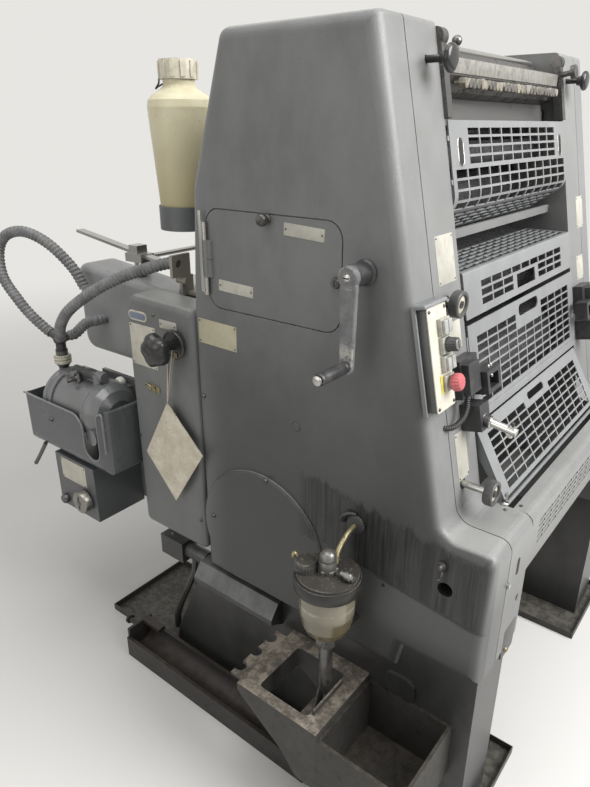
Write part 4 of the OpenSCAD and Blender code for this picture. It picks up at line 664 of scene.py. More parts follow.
# The base's very dark tone is partly its paint and partly painted shade low down; its sloping top faces get
# painted light.
base_paint = enamel("base_enamel", (0.054, 0.054, 0.053), grime=0.9, gloss=0.40, wear=0.3, ledge_light=0.9)
valve_box_paint = enamel("valve_box_enamel", (0.088, 0.092, 0.095), grime=0.5, gloss=0.38, wear=0.3)
guard_paint = enamel("guard_enamel", (0.176, 0.182, 0.185), grime=0.25, gloss=0.36, wear=0.55, front=1.15)
rim_paint = enamel("rim_enamel", (0.17, 0.174, 0.177), grime=0.2, gloss=0.30, wear=0.6)
pump_grey = enamel("pump_enamel", (0.135, 0.140, 0.140), grime=0.1, gloss=0.20, wear=0.2, peel=0.12,
                   dust_on=0.1, shine=0.9)
shell_paint = enamel("shell_enamel", (0.086, 0.091, 0.094), grime=0.35, gloss=0.26, wear=0.45, dust_on=0.15)
clamp_paint = plate_finish("clamp_plate", (0.30, 0.285, 0.235), 0.6)
cable_black = plastic("cable_black", (0.020, 0.020, 0.021), 0.45, 0.3, (0.07, 0.065, 0.06))
slate_enamel = enamel("slate_enamel", (0.16, 0.19, 0.245), grime=0.2, gloss=0.35, wear=0.3)
lever_paint = lever_finish()
bare_steel = metal("bare_steel", (0.52, 0.51, 0.48), (0.15, 0.13, 0.10), 0.30, dirt_share=0.25)
chrome_worn = metal("worn_chrome", (0.60, 0.59, 0.56), (0.20, 0.18, 0.15), 0.20, dirt_share=0.2)
oily_steel = metal("oily_steel", (0.16, 0.155, 0.15), (0.035, 0.032, 0.028), 0.34, dirt_share=0.6)
pale_steel = metal("pale_steel", (0.115, 0.112, 0.108), (0.055, 0.052, 0.05), 0.5, dirt_share=0.3, shine=0.3)
key_steel = metal("key_steel", (0.21, 0.20, 0.18), (0.06, 0.052, 0.042), 0.36, dirt_share=0.65, shine=0.7)
dial_steel = metal("dial_steel", (0.30, 0.285, 0.26), (0.08, 0.07, 0.06), 0.30, dirt_share=0.35, shine=0.9)
dome_steel = metal("dome_steel", (0.22, 0.215, 0.20), (0.06, 0.055, 0.047), 0.36, dirt_share=0.5, shine=0.8)
inked_steel = metal("inked_steel", (0.13, 0.13, 0.135), (0.02, 0.02, 0.022), 0.26, dirt_share=0.7, shine=0.7)
brass = metal("old_brass", (0.30, 0.255, 0.15), (0.10, 0.085, 0.055), 0.38, dirt_share=0.5, shine=0.75)
black_plastic = plastic("black_plastic", (0.026, 0.026, 0.028), 0.40, 0.35, (0.09, 0.085, 0.08))
glossy_black = plastic("glossy_black", (0.018, 0.018, 0.019), 0.24, 0.25, (0.06, 0.055, 0.05), 0.08)
black_band = plastic("black_band", (0.012, 0.011, 0.010), 0.42, 0.3, (0.05, 0.042, 0.03))
knob_grey = plastic("knob_grey", (0.052, 0.053, 0.053), 0.46, 0.45, (0.13, 0.125, 0.115), 0.25)
# Flat black for painted shade: it fills holes, slots, gaps and recesses that show only shade.
hole_shade_black = plastic("hole_shade_black", (0.008, 0.008, 0.008), 0.7, 0.2, (0.02, 0.018, 0.015), 0.1)
cream_plastic = plastic("cream_plastic", (0.55, 0.52, 0.42), 0.40, 0.40, (0.20, 0.17, 0.12))
worn_cream = plastic("worn_cream", (0.27, 0.25, 0.20), 0.44, 0.9, (0.10, 0.085, 0.06), 0.4)
button_grey = plastic("button_grey", (0.42, 0.41, 0.36), 0.38, 0.45, (0.10, 0.095, 0.08))
pusher_grey = plastic("pusher_grey", (0.36, 0.36, 0.34), 0.34, 0.45, (0.10, 0.10, 0.09))
red_plastic = plastic("faded_red", (0.47, 0.115, 0.125), 0.36, 0.25, (0.26, 0.05, 0.05))
yellow_paint = plastic("faded_yellow", (0.62, 0.52, 0.09), 0.45, 0.3)
white_plastic = plastic("white_ball", (0.88, 0.86, 0.80), 0.30, 0.1)
string_grey = plastic("string_grey", (0.30, 0.28, 0.25), 0.8, 0.4, (0.10, 0.09, 0.08), 0.5)
plate_paint = plate_finish("bare_plate", (0.50, 0.475, 0.40), 0.45)
label_cream = plate_finish("cream_label", (0.44, 0.425, 0.37), 0.42)
panel_plate = plate_finish("panel_plate", (0.62, 0.59, 0.50), 0.40)
rating_paint = plate_finish("rating_plate", (0.42, 0.39, 0.27), 0.40)
worn_casting = casting("worn_casting", (0.042, 0.041, 0.038), (0.30, 0.26, 0.21))
dark_casting = casting("dark_casting", (0.035, 0.033, 0.030), (0.075, 0.062, 0.048), 0.6, 0.55, 0.6)
rusty_sheet = casting("rusty_sheet", (0.026, 0.023, 0.021), (0.058, 0.045, 0.035), 0.6, 0.42, 0.6)
pan_sheet = casting("pan_sheet", (0.040, 0.038, 0.035), (0.120, 0.112, 0.095), 0.5, 0.45, 0.85)
lid_paint = enamel("lid_enamel", (0.046, 0.042, 0.036), grime=0.15, gloss=0.34, wear=0.5)
bottle_paint = bottle_finish()
hose_grey = hose_finish()
card_board = card_finish()
amber = amber_finish()
scale_steel = scale_finish()


def dress(finish, *names):
    """Gives CAD nodes a finish in all their slots."""
    for name in names:
        mesh = nodes[name].data
        mesh.materials.clear()
        mesh.materials.append(finish)


dress(cover_paint, "drive_cover_disc", "access_door")
dress(shell_paint, "pump_shell")
dress(frame_paint, "near_side_frame", "far_side_frame", "delivery_beam", "cross_beams")
dress(base_paint, "near_base", "far_base", "drain_fitting")
dress(valve_box_paint, "pump_valve_box", "bottle_cup")
dress(guard_paint, "middle_guard", "lower_guard")
dress(bare_steel, "door_hinge", "feed_table", "feed_head_bar")
dress(clamp_paint, "hose_clamp")
dress(oily_steel, "ink_duct", "lubricator_stem", "duct_brackets")
dress(pump_grey, "pump_body")
dress(inked_steel, "press_cylinders")
dress(black_plastic, "guard_arms", "pump_outlet")
dress(card_board, "hanging_card")
dress(cream_plastic, "bottle_cap")
dress(lid_paint, "lubricator_head")
dress(amber, "lubricator_bowl")
dress(worn_casting, "tool_box")
dress(dark_casting, "parts_bin")
dress(pan_sheet, "near_drip_pan", "far_drip_pan")
dress(rusty_sheet, "washup_trough")
dress(bottle_paint, "water_bottle")

for name in ("near_side_cover", "far_side_cover", "near_feeder_cover", "far_feeder_cover"):
    smooth_copy(name, cover_paint)
for name in ("near_feed_arm", "far_feed_arm"):
    smooth_copy(name, arm_paint)


# Hoses and cable

HOSE_R = 16.0
HUB = np.array([-642.0, -558.0, 948.3])
STUB_L = 34.0


def stub(turn, rise, length):
    """Point at a length along a stub of the hub, turned about Z and risen above level."""
    t, e = math.radians(turn), math.radians(rise)
    return HUB + length * np.array([math.cos(t) * math.cos(e), math.sin(t) * math.cos(e), math.sin(e)])


# Each hose leaves its own stub and runs through these points
HOSES = {
    "loop_hose": ((198, 30), [[-725, -592, 1016], [-760, -605, 1060], [-815, -610, 1120], [-835, -600, 1190],
                              [-810, -585, 1240], [-750, -560, 1255], [-680, -530, 1225], [-620, -500, 1160],
                              [-590, -485, 1100]]),
    "long_hose": ((-28, 25), [[-565, -595, 1014], [-520, -590, 1064], [-450, -560, 1118], [-380, -520, 1160],
                              [-300, -480, 1192], [-238, -449, 1210], [-218.3, -449, 1210]]),
    "short_hose": ((35, 20), [[-572, -508, 998], [-552, -490, 1005], [-548, -472, 1006],
                              [-548, -455.3, 1006]]),
}
SWITCH_CABLE = [[592, -424, 1050], [594, -424.5, 1036], [597, -429, 1018], [597, -440, 1003],
                [594, -455, 994], [589, -469, 989], [581, -480, 988], [568, -488, 990]]


def ribbed_hose(name, route, pitch, groove, r, finish, slot, replaces=()):
    """Spiral hose: a tube of radius r - groove·(0.5 + 0.5·cos(2·pi·s/pitch + u))^2 along its path.

    s is the length along the path and u the angle round it, so the groove winds like a thread."""
    path = smooth_path(route, pitch / 6)
    length = np.linalg.norm(np.diff(path, axis=0), axis=1).sum()
    s = np.linspace(0, length, len(path))
    sides = 28
    u = np.linspace(0, 2 * np.pi, sides, endpoint=False)
    phase = 2 * np.pi * s[:, None] / pitch + u[None, :]
    ribs = tube(path, r - groove * (0.5 + 0.5 * np.cos(phase)) ** 2, sides)
    hose = Piece(name + "_ribbed").add(ribs).done(finish, slot=slot, replaces=replaces, sharp=70)


for name, (aim, route) in HOSES.items():
    route = [stub(*aim, STUB_L), stub(*aim, STUB_L + 20), *route]
    ribbed_hose(name, route, 11.5, 2.3, HOSE_R, hose_grey, "hose_plastic", (name,))
ribbed_hose("switch_cable", SWITCH_CABLE, 4.6, 1.3, 6.0, cable_black, "black_plastic")


# Places and small fittings


def on_side(x, z, out=0.0, tilt=0.0, face=COVER_Y):
    """Place on a face towards the operator: its origin, right, up and outwards."""
    t = math.radians(tilt)
    right, up = np.array([math.cos(t), 0, math.sin(t)]), np.array([-math.sin(t), 0, math.cos(t)])
    return np.array([x, face - out, z], float), right, up, -Y


def on_slope(z, y, out=0.0):
    """Place on the sloping front: across the press, up the slope and outwards."""
    return on_front(z, y, 0, out), Y, UP, OUT


def on_end(y, z, out=0.0):
    """Place on the front end of the frame: across the press, up and outwards."""
    return np.array([FRONT_X + out, y, z], float), Y, Z, X


def at(place, a=0.0, b=0.0, out=0.0):
    """Point at a and b on a place, out of its face."""
    return place[0] + a * place[1] + b * place[2] + out * place[3]


def moved(place, a=0.0, b=0.0, out=0.0):
    """The place shifted by a and b in its face and out of it."""
    return (at(place, a, b, out), *place[1:])


def wrapped(grid, y0, z0, r):
    """Bends flat points (x, s, h) round an axis along X: angle s / r, radius r + h."""
    x, s, h = grid[..., 0], grid[..., 1], grid[..., 2]
    return np.stack([x, y0 + (r + h) * np.sin(s / r), z0 + (r + h) * np.cos(s / r)], -1)


small = {}
# The hole kind is painted shade: dark fills for holes, slots and recesses.
SMALL_FINISHES = {"bright": (bare_steel, "bare_steel"), "dark": (oily_steel, "dull_steel"),
                  "black": (black_plastic, "black_plastic"), "hole": (hole_shade_black, "black_plastic"),
                  "brass": (brass, "bare_steel"), "yellow": (yellow_paint, "cream_metal"),
                  "white": (white_plastic, "cream_plastic"), "string": (string_grey, "card")}


def gathered(kind, body="press"):
    """The piece that gathers one kind of small fitting on one body."""
    return small.setdefault((kind, body), Piece(f"small_{kind}_{body}"))


def bar(r, end, start=0.0):
    """Profile of a plain round bar."""
    return [[0, start], [r, start], [r, end], [0, end]]


def spun(kind, foot, axis, profile, sides=28, lobes=0, depth=0.0, body="press"):
    """Small fitting turned about an axis."""
    gathered(kind, body).add(turned(foot, axis, profile, sides, lobes, depth))


def bent(kind, points, r, sides=12, spacing=2):
    """Small round bar bent smoothly through its points."""
    gathered(kind).add(tube(smooth_path(points, spacing), r, sides))


def pad(kind, place, w, h, corner, depth, edge=0.0, steps=6, both=True, body="press"):
    """Small flat fitting with rounded corners."""
    flat = slab(box_outline(w, h, corner, steps), place, depth, edge, both=both)
    gathered(kind, body).add(flat, caps=True)


def disc(place, r, h, kind):
    """Flat round fitting standing h proud of its face."""
    spun(kind, at(place), place[3], bar(r, h, -0.4))


def screw(place, a=0.0, b=0.0, r=2.8, body="press", head="round", kind="bright"):
    """Screw head on a place: a hexagon, or a dome with a slot where it is large enough to show."""
    h = 0.7 * r
    centre = at(place, a, b)
    if head == "hex":
        hexagon = [[0, -0.5], [r, -0.5], [r, h * 0.8], [r * 0.86, h], [0, h]]
        spun(kind, centre, place[3], hexagon, 6, body=body)
        return
    t = np.linspace(0, np.pi / 2, 5)
    dome = np.stack([r * np.cos(t), h * (0.35 + 0.65 * np.sin(t))], 1)
    spun(kind, centre, place[3], np.vstack([[[0, -0.5], [r, -0.5]], dome]), 20, body=body)
    if r >= 3.4:
        # The slot is a dark bar of painted shade.
        pad("hole", moved(place, a, b, 0.5 * r), 1.7 * r, 0.34 * r, 0.1 * r, 0.22 * r, steps=2, body=body)


def sheet(name, place, size, corner, depth, edge, finish, slot, steps=6, both=True, replaces=()):
    """Piece that is one flat plate with rounded corners."""
    flat = slab(box_outline(*size, corner, steps), place, depth, edge, both=both)
    Piece(name).add(flat, caps=True).done(finish, slot=slot, replaces=replaces)


def plate(name, place, w, h, finish, body="press", fixed="ends", t=0.9, head=2.3):
    """Thin plate on a face, held by two or four screws 5 mm inside its edge."""
    flat = slab(box_outline(w, h, 2.0, 3), place, t, 0.3, 2, both=False)
    Piece(name).add(flat, caps=True).done(finish, body, "cream_metal")
    spots = {"none": (), "ends": ((-1, 0), (1, 0)), "corners": ((-1, -1), (1, -1), (1, 1), (-1, 1))}[fixed]
    for a, b in spots:
        screw(moved(place, out=t), a * (w / 2 - 5.0), b * (h / 2 - 5.0), head, body, kind="dark")


def link_outline(low, r_low, high, r_high):
    """Outline of a lever: the tangent hull of two circles, in (x, z)."""
    steps = 14
    low, high = np.array(low, float), np.array(high, float)
    along = high - low
    lean = math.acos((r_low - r_high) / np.linalg.norm(along))
    base = math.atan2(along[1], along[0])

    def arc(centre, r, start, end):
        t = base + np.linspace(start, end, steps)
        return centre + r * np.stack([np.cos(t), np.sin(t)], 1)

    return np.vstack([arc(high, r_high, -lean, lean), arc(low, r_low, lean, 2 * math.pi - lean)])


# Plates and labels of the door, the covers and the sloping front
PUMP_BOX_Y = -650.0
plate("door_upper_plate", on_side(280, 1349, tilt=-3), 100, 25, label_cream, "door")
plate("door_lower_plate", on_side(92, 1210, tilt=-2), 102, 25, label_cream, "door")
plate("rating_plate", on_side(28, 1092, tilt=-1), 122, 60, rating_paint, fixed="corners")
plate("feeder_plate", on_side(-248.5, 1007), 101, 114, plate_paint, fixed="corners")
plate("feeder_small_plate", on_side(-145.5, 1082), 63, 22, label_cream)
plate("valve_box_plate", on_side(-519.5, 574, face=PUMP_BOX_Y), 123, 68, plate_paint, fixed="corners")
plate("slope_label_high", on_slope(1302, -405), 74, 94, label_cream, fixed="corners", t=0.5, head=1.8)
plate("slope_label_middle", on_slope(1152.5, -397.5), 53, 58, label_cream, fixed="none", t=0.5)
plate("slope_label_low", on_slope(909, -421), 50, 104, label_cream, fixed="corners", t=0.8)
plate("far_label_high", on_slope(1308.5, 462), 60, 88, label_cream, fixed="corners", t=0.5, head=1.8)
plate("far_label_low", on_slope(1155, 442), 60, 68, label_cream, fixed="corners", t=0.5, head=1.8)

badge = on_side(-261, 1086.5)
sheet("oval_rim", badge, (72, 26), 12.9, 1.6, 0.5, cream_plastic, "cream_metal", 8, False)
sheet("oval_field", moved(badge, out=1.2), (65, 18), 8.9, 0.9, 0.3, slate_enamel, "cream_metal", 8, False)

PUMP_Y, PUMP_Z = -558.0, 770.0
label = slab(box_outline(76, 46, 3, 3), ((-539, 8, 0.3), X, -Y, Z), 0.8, both=False)
Piece("pump_label").add(wrapped(label, PUMP_Y, PUMP_Z, 90), True).done(label_cream, slot="cream_metal")

# Ball catch and lock of the door
gathered("dark", "door").add(ball([186, -571, 1366], 12.9))
neck = [[0, -0.3], [10.5, -0.3], [10.5, 2], [7, 4.5], [6, 12], [0, 12]]
spun("dark", [186, COVER_Y, 1366], -Y, neck, 24, body="door")
spun("dark", [360, COVER_Y, 1261], -Y, [[0, 0], [11, 0], [11, 6], [9.6, 8.6], [0, 8.6]], body="door")
# Slot of the lock: a dark bar of painted shade.
pad("hole", on_side(360, 1261, 8.2), 2.6, 14, 1, 0.7, steps=2, body="door")

# Holes, plug and screws of the cover; the holes and the gap round the plug are dark discs and a dark well of
# painted shade
disc(on_side(261, 924), 11.6, 0.25, "hole")
well = [[16.2, 0], [16.8, 0], [16.8, 34], [0, 34], [0, 33.4], [16.2, 33.4], [16.2, 0]]
spun("hole", [645, COVER_Y + 0.6, 673], Y, well, 40)
disc(on_side(-30, 922), 6.8, 0.2, "hole")
disc(on_side(504, 613), 4.6, 0.3, "hole")
screw(on_side(-30, 922), r=5.6, kind="dark")
for x, z in ((-72, 540), (-199, 440), (-199, 1099), (-299, 732)):
    screw(on_side(x, z), r=5.0, kind="dark")
for x, z in ((176, 759), (-11, 584)):
    screw(on_side(x, z, 8), r=6.5, kind="dark")
plug = turned([261, COVER_Y, 924], -Y, [[0, -0.3], [10.2, -0.3], [10.2, 0.9], [9, 1.6], [0, 1.6]], 32)
Piece("cover_plug").add(plug).done(cover_paint, slot="housing_paint")

# Bolt and hook over the dark hole of the cover
bolt = [[0, -0.3], [9.5, -0.3], [9.5, 3], [7, 5], [6.4, 11], [4.5, 14], [0, 14.8]]
spun("dark", [634, COVER_Y, 728], -Y, bolt, 24)
bent("dark", [[640, -566, 722], [641, -571, 712], [634, -573, 704], [627, -569, 709]], 2.4, 10)

# Latch under the star knob
latch = on_side(-221, 893.5)
for a in (-17, 0, 17):
    pad("brass", moved(latch, a), 15, 22 - abs(a) * 0.35, 4, 3.6, 1.2, 4, False)
bent("brass", [[-247, -560, 899], [-240, -566, 907], [-222, -567, 905], [-214, -560, 894]], 2.2, 10)

# Bright hinge strip along the feeder side of the door
pad("bright", on_side(2.5, 1282, 12.4), 8, 178, 1.5, 1.6, 0.6)


# Crank

CRANK_X, CRANK_Z, GRIP_Z, LEVER_Y = 425.0, 1290.0, 1120.0, -603.0
lever = Piece("crank_lever")
outline = link_outline((CRANK_X, GRIP_Z), 15, (CRANK_X, CRANK_Z), 19)
lever.add(slab(outline, ([0, LEVER_Y, 0], X, Z, -Y), 12, 4.5, 5), caps=True)
lever.add(turned([CRANK_X, -555.3, CRANK_Z], -Y, bar(10, 48), 32))
hub = [[0, 0], [20, 0], [21, 2], [21, 13], [18.5, 15], [8, 15], [6.5, 13.5], [0, 13.5]]
lever.add(turned([CRANK_X, LEVER_Y, CRANK_Z], -Y, hub, 40))
lever.done(lever_paint, "crank", "dull_steel", ("hand_crank",))
rosette = [[9.5, 0], [24, 0], [25, 1.5], [25, 4], [21.5, 8], [21.5, 44], [18, 47.6], [9.5, 47.6]]
spun("black", [CRANK_X, -555.4, CRANK_Z], -Y, rosette, 40, body="crank")
pin = [[0, 0], [7.2, 0], [7.2, 86], [9.5, 86.6], [9.5, 89.4], [7, 91], [0, 91.5]]
spun("bright", [CRANK_X, -614.6, GRIP_Z], -Y, pin, 24, body="crank")
screw((np.array([CRANK_X, -616.5, CRANK_Z]), X, Z, -Y), r=7.2, body="crank")
grip = [[7.6, 0], [11.2, 0], [12.2, 1.2], [12.3, 5], [11.4, 7], [12.1, 9], [12.5, 40], [12.3, 68], [11.4, 74],
        [12.2, 76], [12.2, 79.6], [10.5, 82.4], [7.6, 83]]
handle = Piece("crank_handle").add(turned([CRANK_X, -615.5, GRIP_Z], -Y, grip, 40))
handle.done(black_plastic, "grip", "black_plastic", ("crank_grip",))


# Star knob of the feeder and the strings of the card

WHEEL_X, WHEEL_Z = -117.0, 1040.0
wheel = Piece("star_knob")
flange = [[0, 0], [36, 0], [38.5, 2.2], [38.5, 5], [36, 7], [0, 7]]
wheel.add(turned([WHEEL_X, -568.6, WHEEL_Z], Y, flange, 48))
wheel.add(turned([WHEEL_X, -567, WHEEL_Z], -Y, [[0, 0], [13, 0], [12, 18], [14, 38], [0, 38]], 32))
star = [[0, -3], [22, -3], [34, 2], [39.5, 9], [40.5, 20], [38, 30], [30, 37], [18, 40], [12, 40.5], [10, 39],
        [0, 39]]
wheel.add(turned([WHEEL_X, -605, WHEEL_Z], -Y, star, 80, 5, 0.085))
wheel.done(glossy_black, "feeder_wheel", "black_plastic", ("feeder_handwheel",))
pad("brass", on_side(-108, 1014, 14.2), 11, 17, 2.5, 1.6, 0.4, body="feeder_wheel")
wire = [[33.5, 0], [36.5, 0], [37, 0.8], [36.5, 1.6], [33.5, 1.6], [33, 0.8], [33.5, 0]]
spun("dark", [WHEEL_X, -569.2, WHEEL_Z], -Y, wire, 48, body="feeder_wheel")
CARD_X = -146.0
for x in (-134.0, -112.0):
    bent("string", [[x, -571.5, 1012], [0.5 * (x + CARD_X), -573.5, 940], [CARD_X, -577, 874]], 1.5, 8, 6)


# Control panel

PANEL_Z, PANEL_Y, BUTTONS_A = 1137.0, -511.0, 13.0
KNOB_B, STOP_B, PUSHERS_B = 23.0, -50.0, (-12.0, 58.0)
panel = on_slope(PANEL_Z, PANEL_Y, 0.3)
sheet("panel_housing", panel, (72.5, 199), 5, 23.4, 2.5, cover_paint, "cream_metal",
      replaces=("control_panel",))
backing = Piece("panel_backing").add(slab(box_outline(86, 210, 4), moved(panel, -4, 0, -0.2), 2.4, 0.8), True)
backing.add(block([-50, 100, 0.2], [40, 108, 30], 3.2, panel))
backing.add(block([-49, -104, 0.2], [-45, 104, 9], 1.4, panel))
backing.done(guard_paint, slot="cream_metal")
face = moved(panel, 0, 0, 23.2)
sheet("panel_face", face, (73, 199), 5, 2.0, 0.5, panel_plate, "cream_metal", both=False)
for a in (-30, 30):
    for b in (-92, 92):
        screw(moved(face, out=2), a, b, 3.5, kind="dark")
switches = moved(face, BUTTONS_A, 0, 2.1)
bases = Piece("switch_bases")
for b, high in ((STOP_B, 6.7), (PUSHERS_B[0], 9), (KNOB_B, 9), (PUSHERS_B[1], 9)):
    bases.add(block([-18, b - 15.5, 0], [18, b + 15.5, high], 1.4, switches))
bases.add(turned(at(switches, 0, STOP_B), OUT, bar(9, 13.2, 5.5), 32))
bases.done(button_grey, slot="cream_plastic", replaces=("panel_buttons",))
pushers = Piece("push_buttons")
for b in PUSHERS_B:
    for a in (-8.4, 8.4):
        pushers.add(block([a - 7.2, b - 12.5, 8], [a + 7.2, b + 12.5, 15], 1.8, switches))
pushers.done(pusher_grey, slot="cream_plastic")
pad("yellow", moved(switches, -23, STOP_B), 9, 36, 1, 0.9, 0.2)

spot = at(switches, 0, KNOB_B)
knurl = [[0, 9.4], [14.2, 9.4], [14.2, 13], [13, 14.5], [12.6, 28], [11.4, 29.6], [0, 29.6]]
knob = Piece("rotary_knob").add(turned(spot, OUT, knurl, 72, 18, 0.035))
knob.done(black_plastic, "switch", "black_plastic", ("panel_switch",))
cap = [[0, 29.4], [9.6, 29.4], [10, 30], [9.4, 30.8], [0, 30.8]]
spun("bright", spot, OUT, cap, 32, body="switch")
# Slot in the cap: a dark bar of painted shade.
pad("hole", (spot + 30.7 * OUT, Y, UP, OUT), 2.2, 15, 1, 0.5, body="switch")

spot = at(switches, 0, STOP_B)
mushroom = Piece("stop_mushroom")
skirt = [[0, 19], [10.2, 19], [10.2, 12], [14.5, 12], [16.2, 13.6], [16.8, 17], [16.4, 26], [15, 28.2],
         [0, 28.2]]
mushroom.add(turned(spot, OUT, skirt, 96, 16, 0.045))
crown = [[0, 27.8], [14.4, 27.8], [13.6, 29.6], [10.5, 30.6], [6, 31], [0, 31.1]]
mushroom.add(turned(spot, OUT, crown, 48))
mushroom.done(red_plastic, "stop", "red_plastic", ("emergency_stop",))


# Knobs of the sloping front

KNOB_RIM = [[18.5, 2], [19.5, 0.4], [25, 0], [27, 2.2], [27.2, 16], [25, 20], [12, 22], [9, 21], [9, 8],
            [18.5, 8], [18.5, 2]]
KNOB_DISH = [[0, -2], [18.4, -2], [18.4, 0], [16.5, 0.8], [9, 1.4], [0, 1.4]]
KNOB_NUT = [[0, 0], [7.4, 0], [7.4, 2.6], [5.4, 3.4], [2.2, 3.4], [2.2, 1.2], [0, 1.2]]
for name, y, z, face_x in (("upper_knob", -417, 1222, 561.5), ("lower_knob", -430, 850, 679.7)):
    foot_x = on_front(z, y)[0]
    reach = face_x - foot_x
    knob = Piece(name + "_rim").add(turned([face_x, y, z], -X, KNOB_RIM, 56))
    knob.done(knob_grey, name, "black_plastic", (name,))
    dish = Piece(name + "_dish").add(turned([face_x - 5.5, y, z], X, KNOB_DISH, 40))
    dish.done(cream_plastic, name, "black_plastic")
    spun("black", [face_x - 4.3, y, z], X, KNOB_NUT, body=name)
    shaft = [[0, 0], [7.6, 0], [7.6, reach - 22], [10.5, reach - 20], [10.5, reach - 10], [0, reach - 10]]
    spun("bright", [foot_x - 3, y, z], X, shaft, body=name)
    # Dark ring of painted shade in the gap round the shaft.
    spun("hole", at(on_slope(z, y), out=-0.4), OUT, [[8, 0], [12.6, 0], [12.6, 0.8], [8, 0.8], [8, 0]], 32)

DUCT_KNOB_Z = 1650.0
duct_knob = [[0, 0], [6.6, 0], [6.6, 27], [10.4, 29], [12.2, 36], [16, 40.5], [21.5, 42.8], [23.8, 45.5],
             [24, 48.4], [22.8, 51.6], [19, 54], [12, 55], [0, 55.2]]
for name, y in (("near_duct_knob", -400), ("far_duct_knob", 400)):
    knob = Piece(name + "_grip").add(turned(on_front(DUCT_KNOB_Z, y), X, duct_knob, 44))
    knob.done(glossy_black, name, "black_plastic", (name,))


# Ink duct

sheet("ink_scale", ([436.4, 0, 1648], Y, Z, X), (646, 27), 1.5, 1.3, 0.3, scale_steel, "bare_steel")
sheet("duct_blade", on_slope(1575, 0, -48), (644, 52), 2, 3, 0.6, pale_steel, "dull_steel")
rng = np.random.default_rng(7)
steel_keys, cream_keys = Piece("steel_keys"), Piece("worn_keys")
for y in np.linspace(-270, 270, 28):
    r = 9.2 + 1.6 * rng.random()
    reach = 24 + 3.0 * rng.random()
    key = [[0, 0], [4.6, 0], [4.6, 9], [r * 0.8, 10], [r, 12], [r, reach - 3], [r * 0.86, reach], [0, reach]]
    keys = steel_keys if rng.random() < 0.6 else cream_keys
    keys.add(turned([432.3, y, 1617 + 1.2 * (rng.random() - 0.5)], X, key, 18, 6, 0.06))
steel_keys.done(key_steel, slot="bare_steel", replaces=("ink_keys",))
cream_keys.done(worn_cream, slot="bare_steel")
spun("bright", [356, -326, 1690], Y, bar(7.6, 652), 24)

for side in (-1, 1):
    for z, out in ((1684, 6), (1565, -10)):
        screw((on_front(z, side * FRAME_Y, 0, out), X, Z, -side * Y), r=5, kind="dark", head="hex")


# Pierced guards

GUARD_SIDE, GUARD_T = 346.0, 3.0


def pierced_guard(name, node, profile, length, sets, extra=()):
    """Guard of the press made as a pierced sheet; sets are (rows, columns) of openings."""
    holes = [(r, c) for rows, columns in sets for r in rows for c in columns]
    stations = [0, length, *extra, *[v for r, _ in holes for v in r]]
    across = [-GUARD_SIDE, GUARD_SIDE, *[v for _, c in holes for v in c]]

    def is_solid(s, y):
        """True where no opening lies."""
        solid = np.ones(s.shape, bool)
        for (s0, s1), (y0, y1) in holes:
            solid &= ~((s > s0) & (s < s1) & (y > y0) & (y < y1))
        return solid

    guard = Piece(name).add_mesh(*pierced_sheet(stations, profile, across, is_solid, GUARD_T))
    for side in (-1, 1):
        for at_s in (0.12 * length, 0.42 * length):
            point, normal = profile(np.array([at_s]))
            place = (point[0] - 4 * normal[0], side * Y, np.cross(normal[0], Y), normal[0])
            guard.add(block([340, -5, -4], [351.2, 5, 3], 1, place))
    guard.done(guard_paint, slot="guard_paint", replaces=(node,))


def spans(start, end, count, bar_wide):
    """count equal openings between start and end, a bar apart."""
    wide = (end - start - (count - 1) * bar_wide) / count
    return [(start + k * (wide + bar_wide), start + k * (wide + bar_wide) + wide) for k in range(count)]


def folded(s, head, back, start, r, full):
    """Straight run to start, a bend of radius r through the angle full, and a straight run on.

    head is the bend's centre and back the direction that the first run comes from."""
    rise = np.cross(Y, back)
    turn = np.clip((s - start) / r, 0, full)[:, None]
    normal = np.cos(turn) * rise - np.sin(turn) * back
    tangent = -np.sin(turn) * rise - np.cos(turn) * back
    flat = np.minimum(s - start, 0)[:, None] * -back
    beyond = np.maximum(s - start - r * full, 0)[:, None] * tangent
    return head + r * normal + flat + beyond, normal


UPPER_FOOT, UPPER_H, CURL_R, CURL = 1415.3, 137.0, 38.0, math.radians(66)


def upper_profile(s):
    """Down the slope for UPPER_H, round a curl of CURL_R through CURL, then straight on."""
    centre = on_front(UPPER_FOOT, 0, 0, 4) - CURL_R * OUT
    return folded(s, centre, UP, UPPER_H, CURL_R, CURL)


narrow, wide = spans(-262, 262, 9, 5.5), spans(-330, 330, 12, 5.5)
straight_rows = [(14, 27.5), (32.5, 46), (51, 64.5), (69.5, 83)]
curled_rows = [(92, 108), (113, 129), (134, 151), (156, 173), (186, 201), (206, 221), (226, 241), (246, 261)]
pierced_guard("upper_guard_sheet", "upper_guard", upper_profile, 272.0,
              [(straight_rows, narrow), (curled_rows, wide)],
              extra=np.linspace(UPPER_H, UPPER_H + CURL_R * CURL, 13))
slot_outline = box_outline(24, 54, 11.9, 6)
for side in (-1, 1):
    ear = moved(on_slope(UPPER_FOOT, side * 302, 3.6), 0, 78)
    # Dark pad of painted shade in the slot of each ear.
    pad("hole", ear, 22, 52, 10.9, 0.6)
    ring = np.array([at(ear, a, b, 0.5) for a, b in np.vstack([slot_outline, slot_outline[:1]])])
    gathered("bright").add(tube(ring, 0.9, 8))

SHELF_FOOT, SHELF_H, SHELF_DEPTH, BEND, FOLD = 1169.7, 97.4, 122.0, 6.0, math.radians(78)


def shelf_profile(s):
    """Back over the shelf of the guard, round its bend and down the slope."""
    back = math.cos(FOLD) * UP - math.sin(FOLD) * OUT
    head = on_front(SHELF_FOOT, 0, SHELF_H, 4)
    centre = head - BEND * OUT - BEND * math.tan(FOLD / 2) * UP
    return folded(s, centre, back, SHELF_DEPTH - BEND, BEND, FOLD)


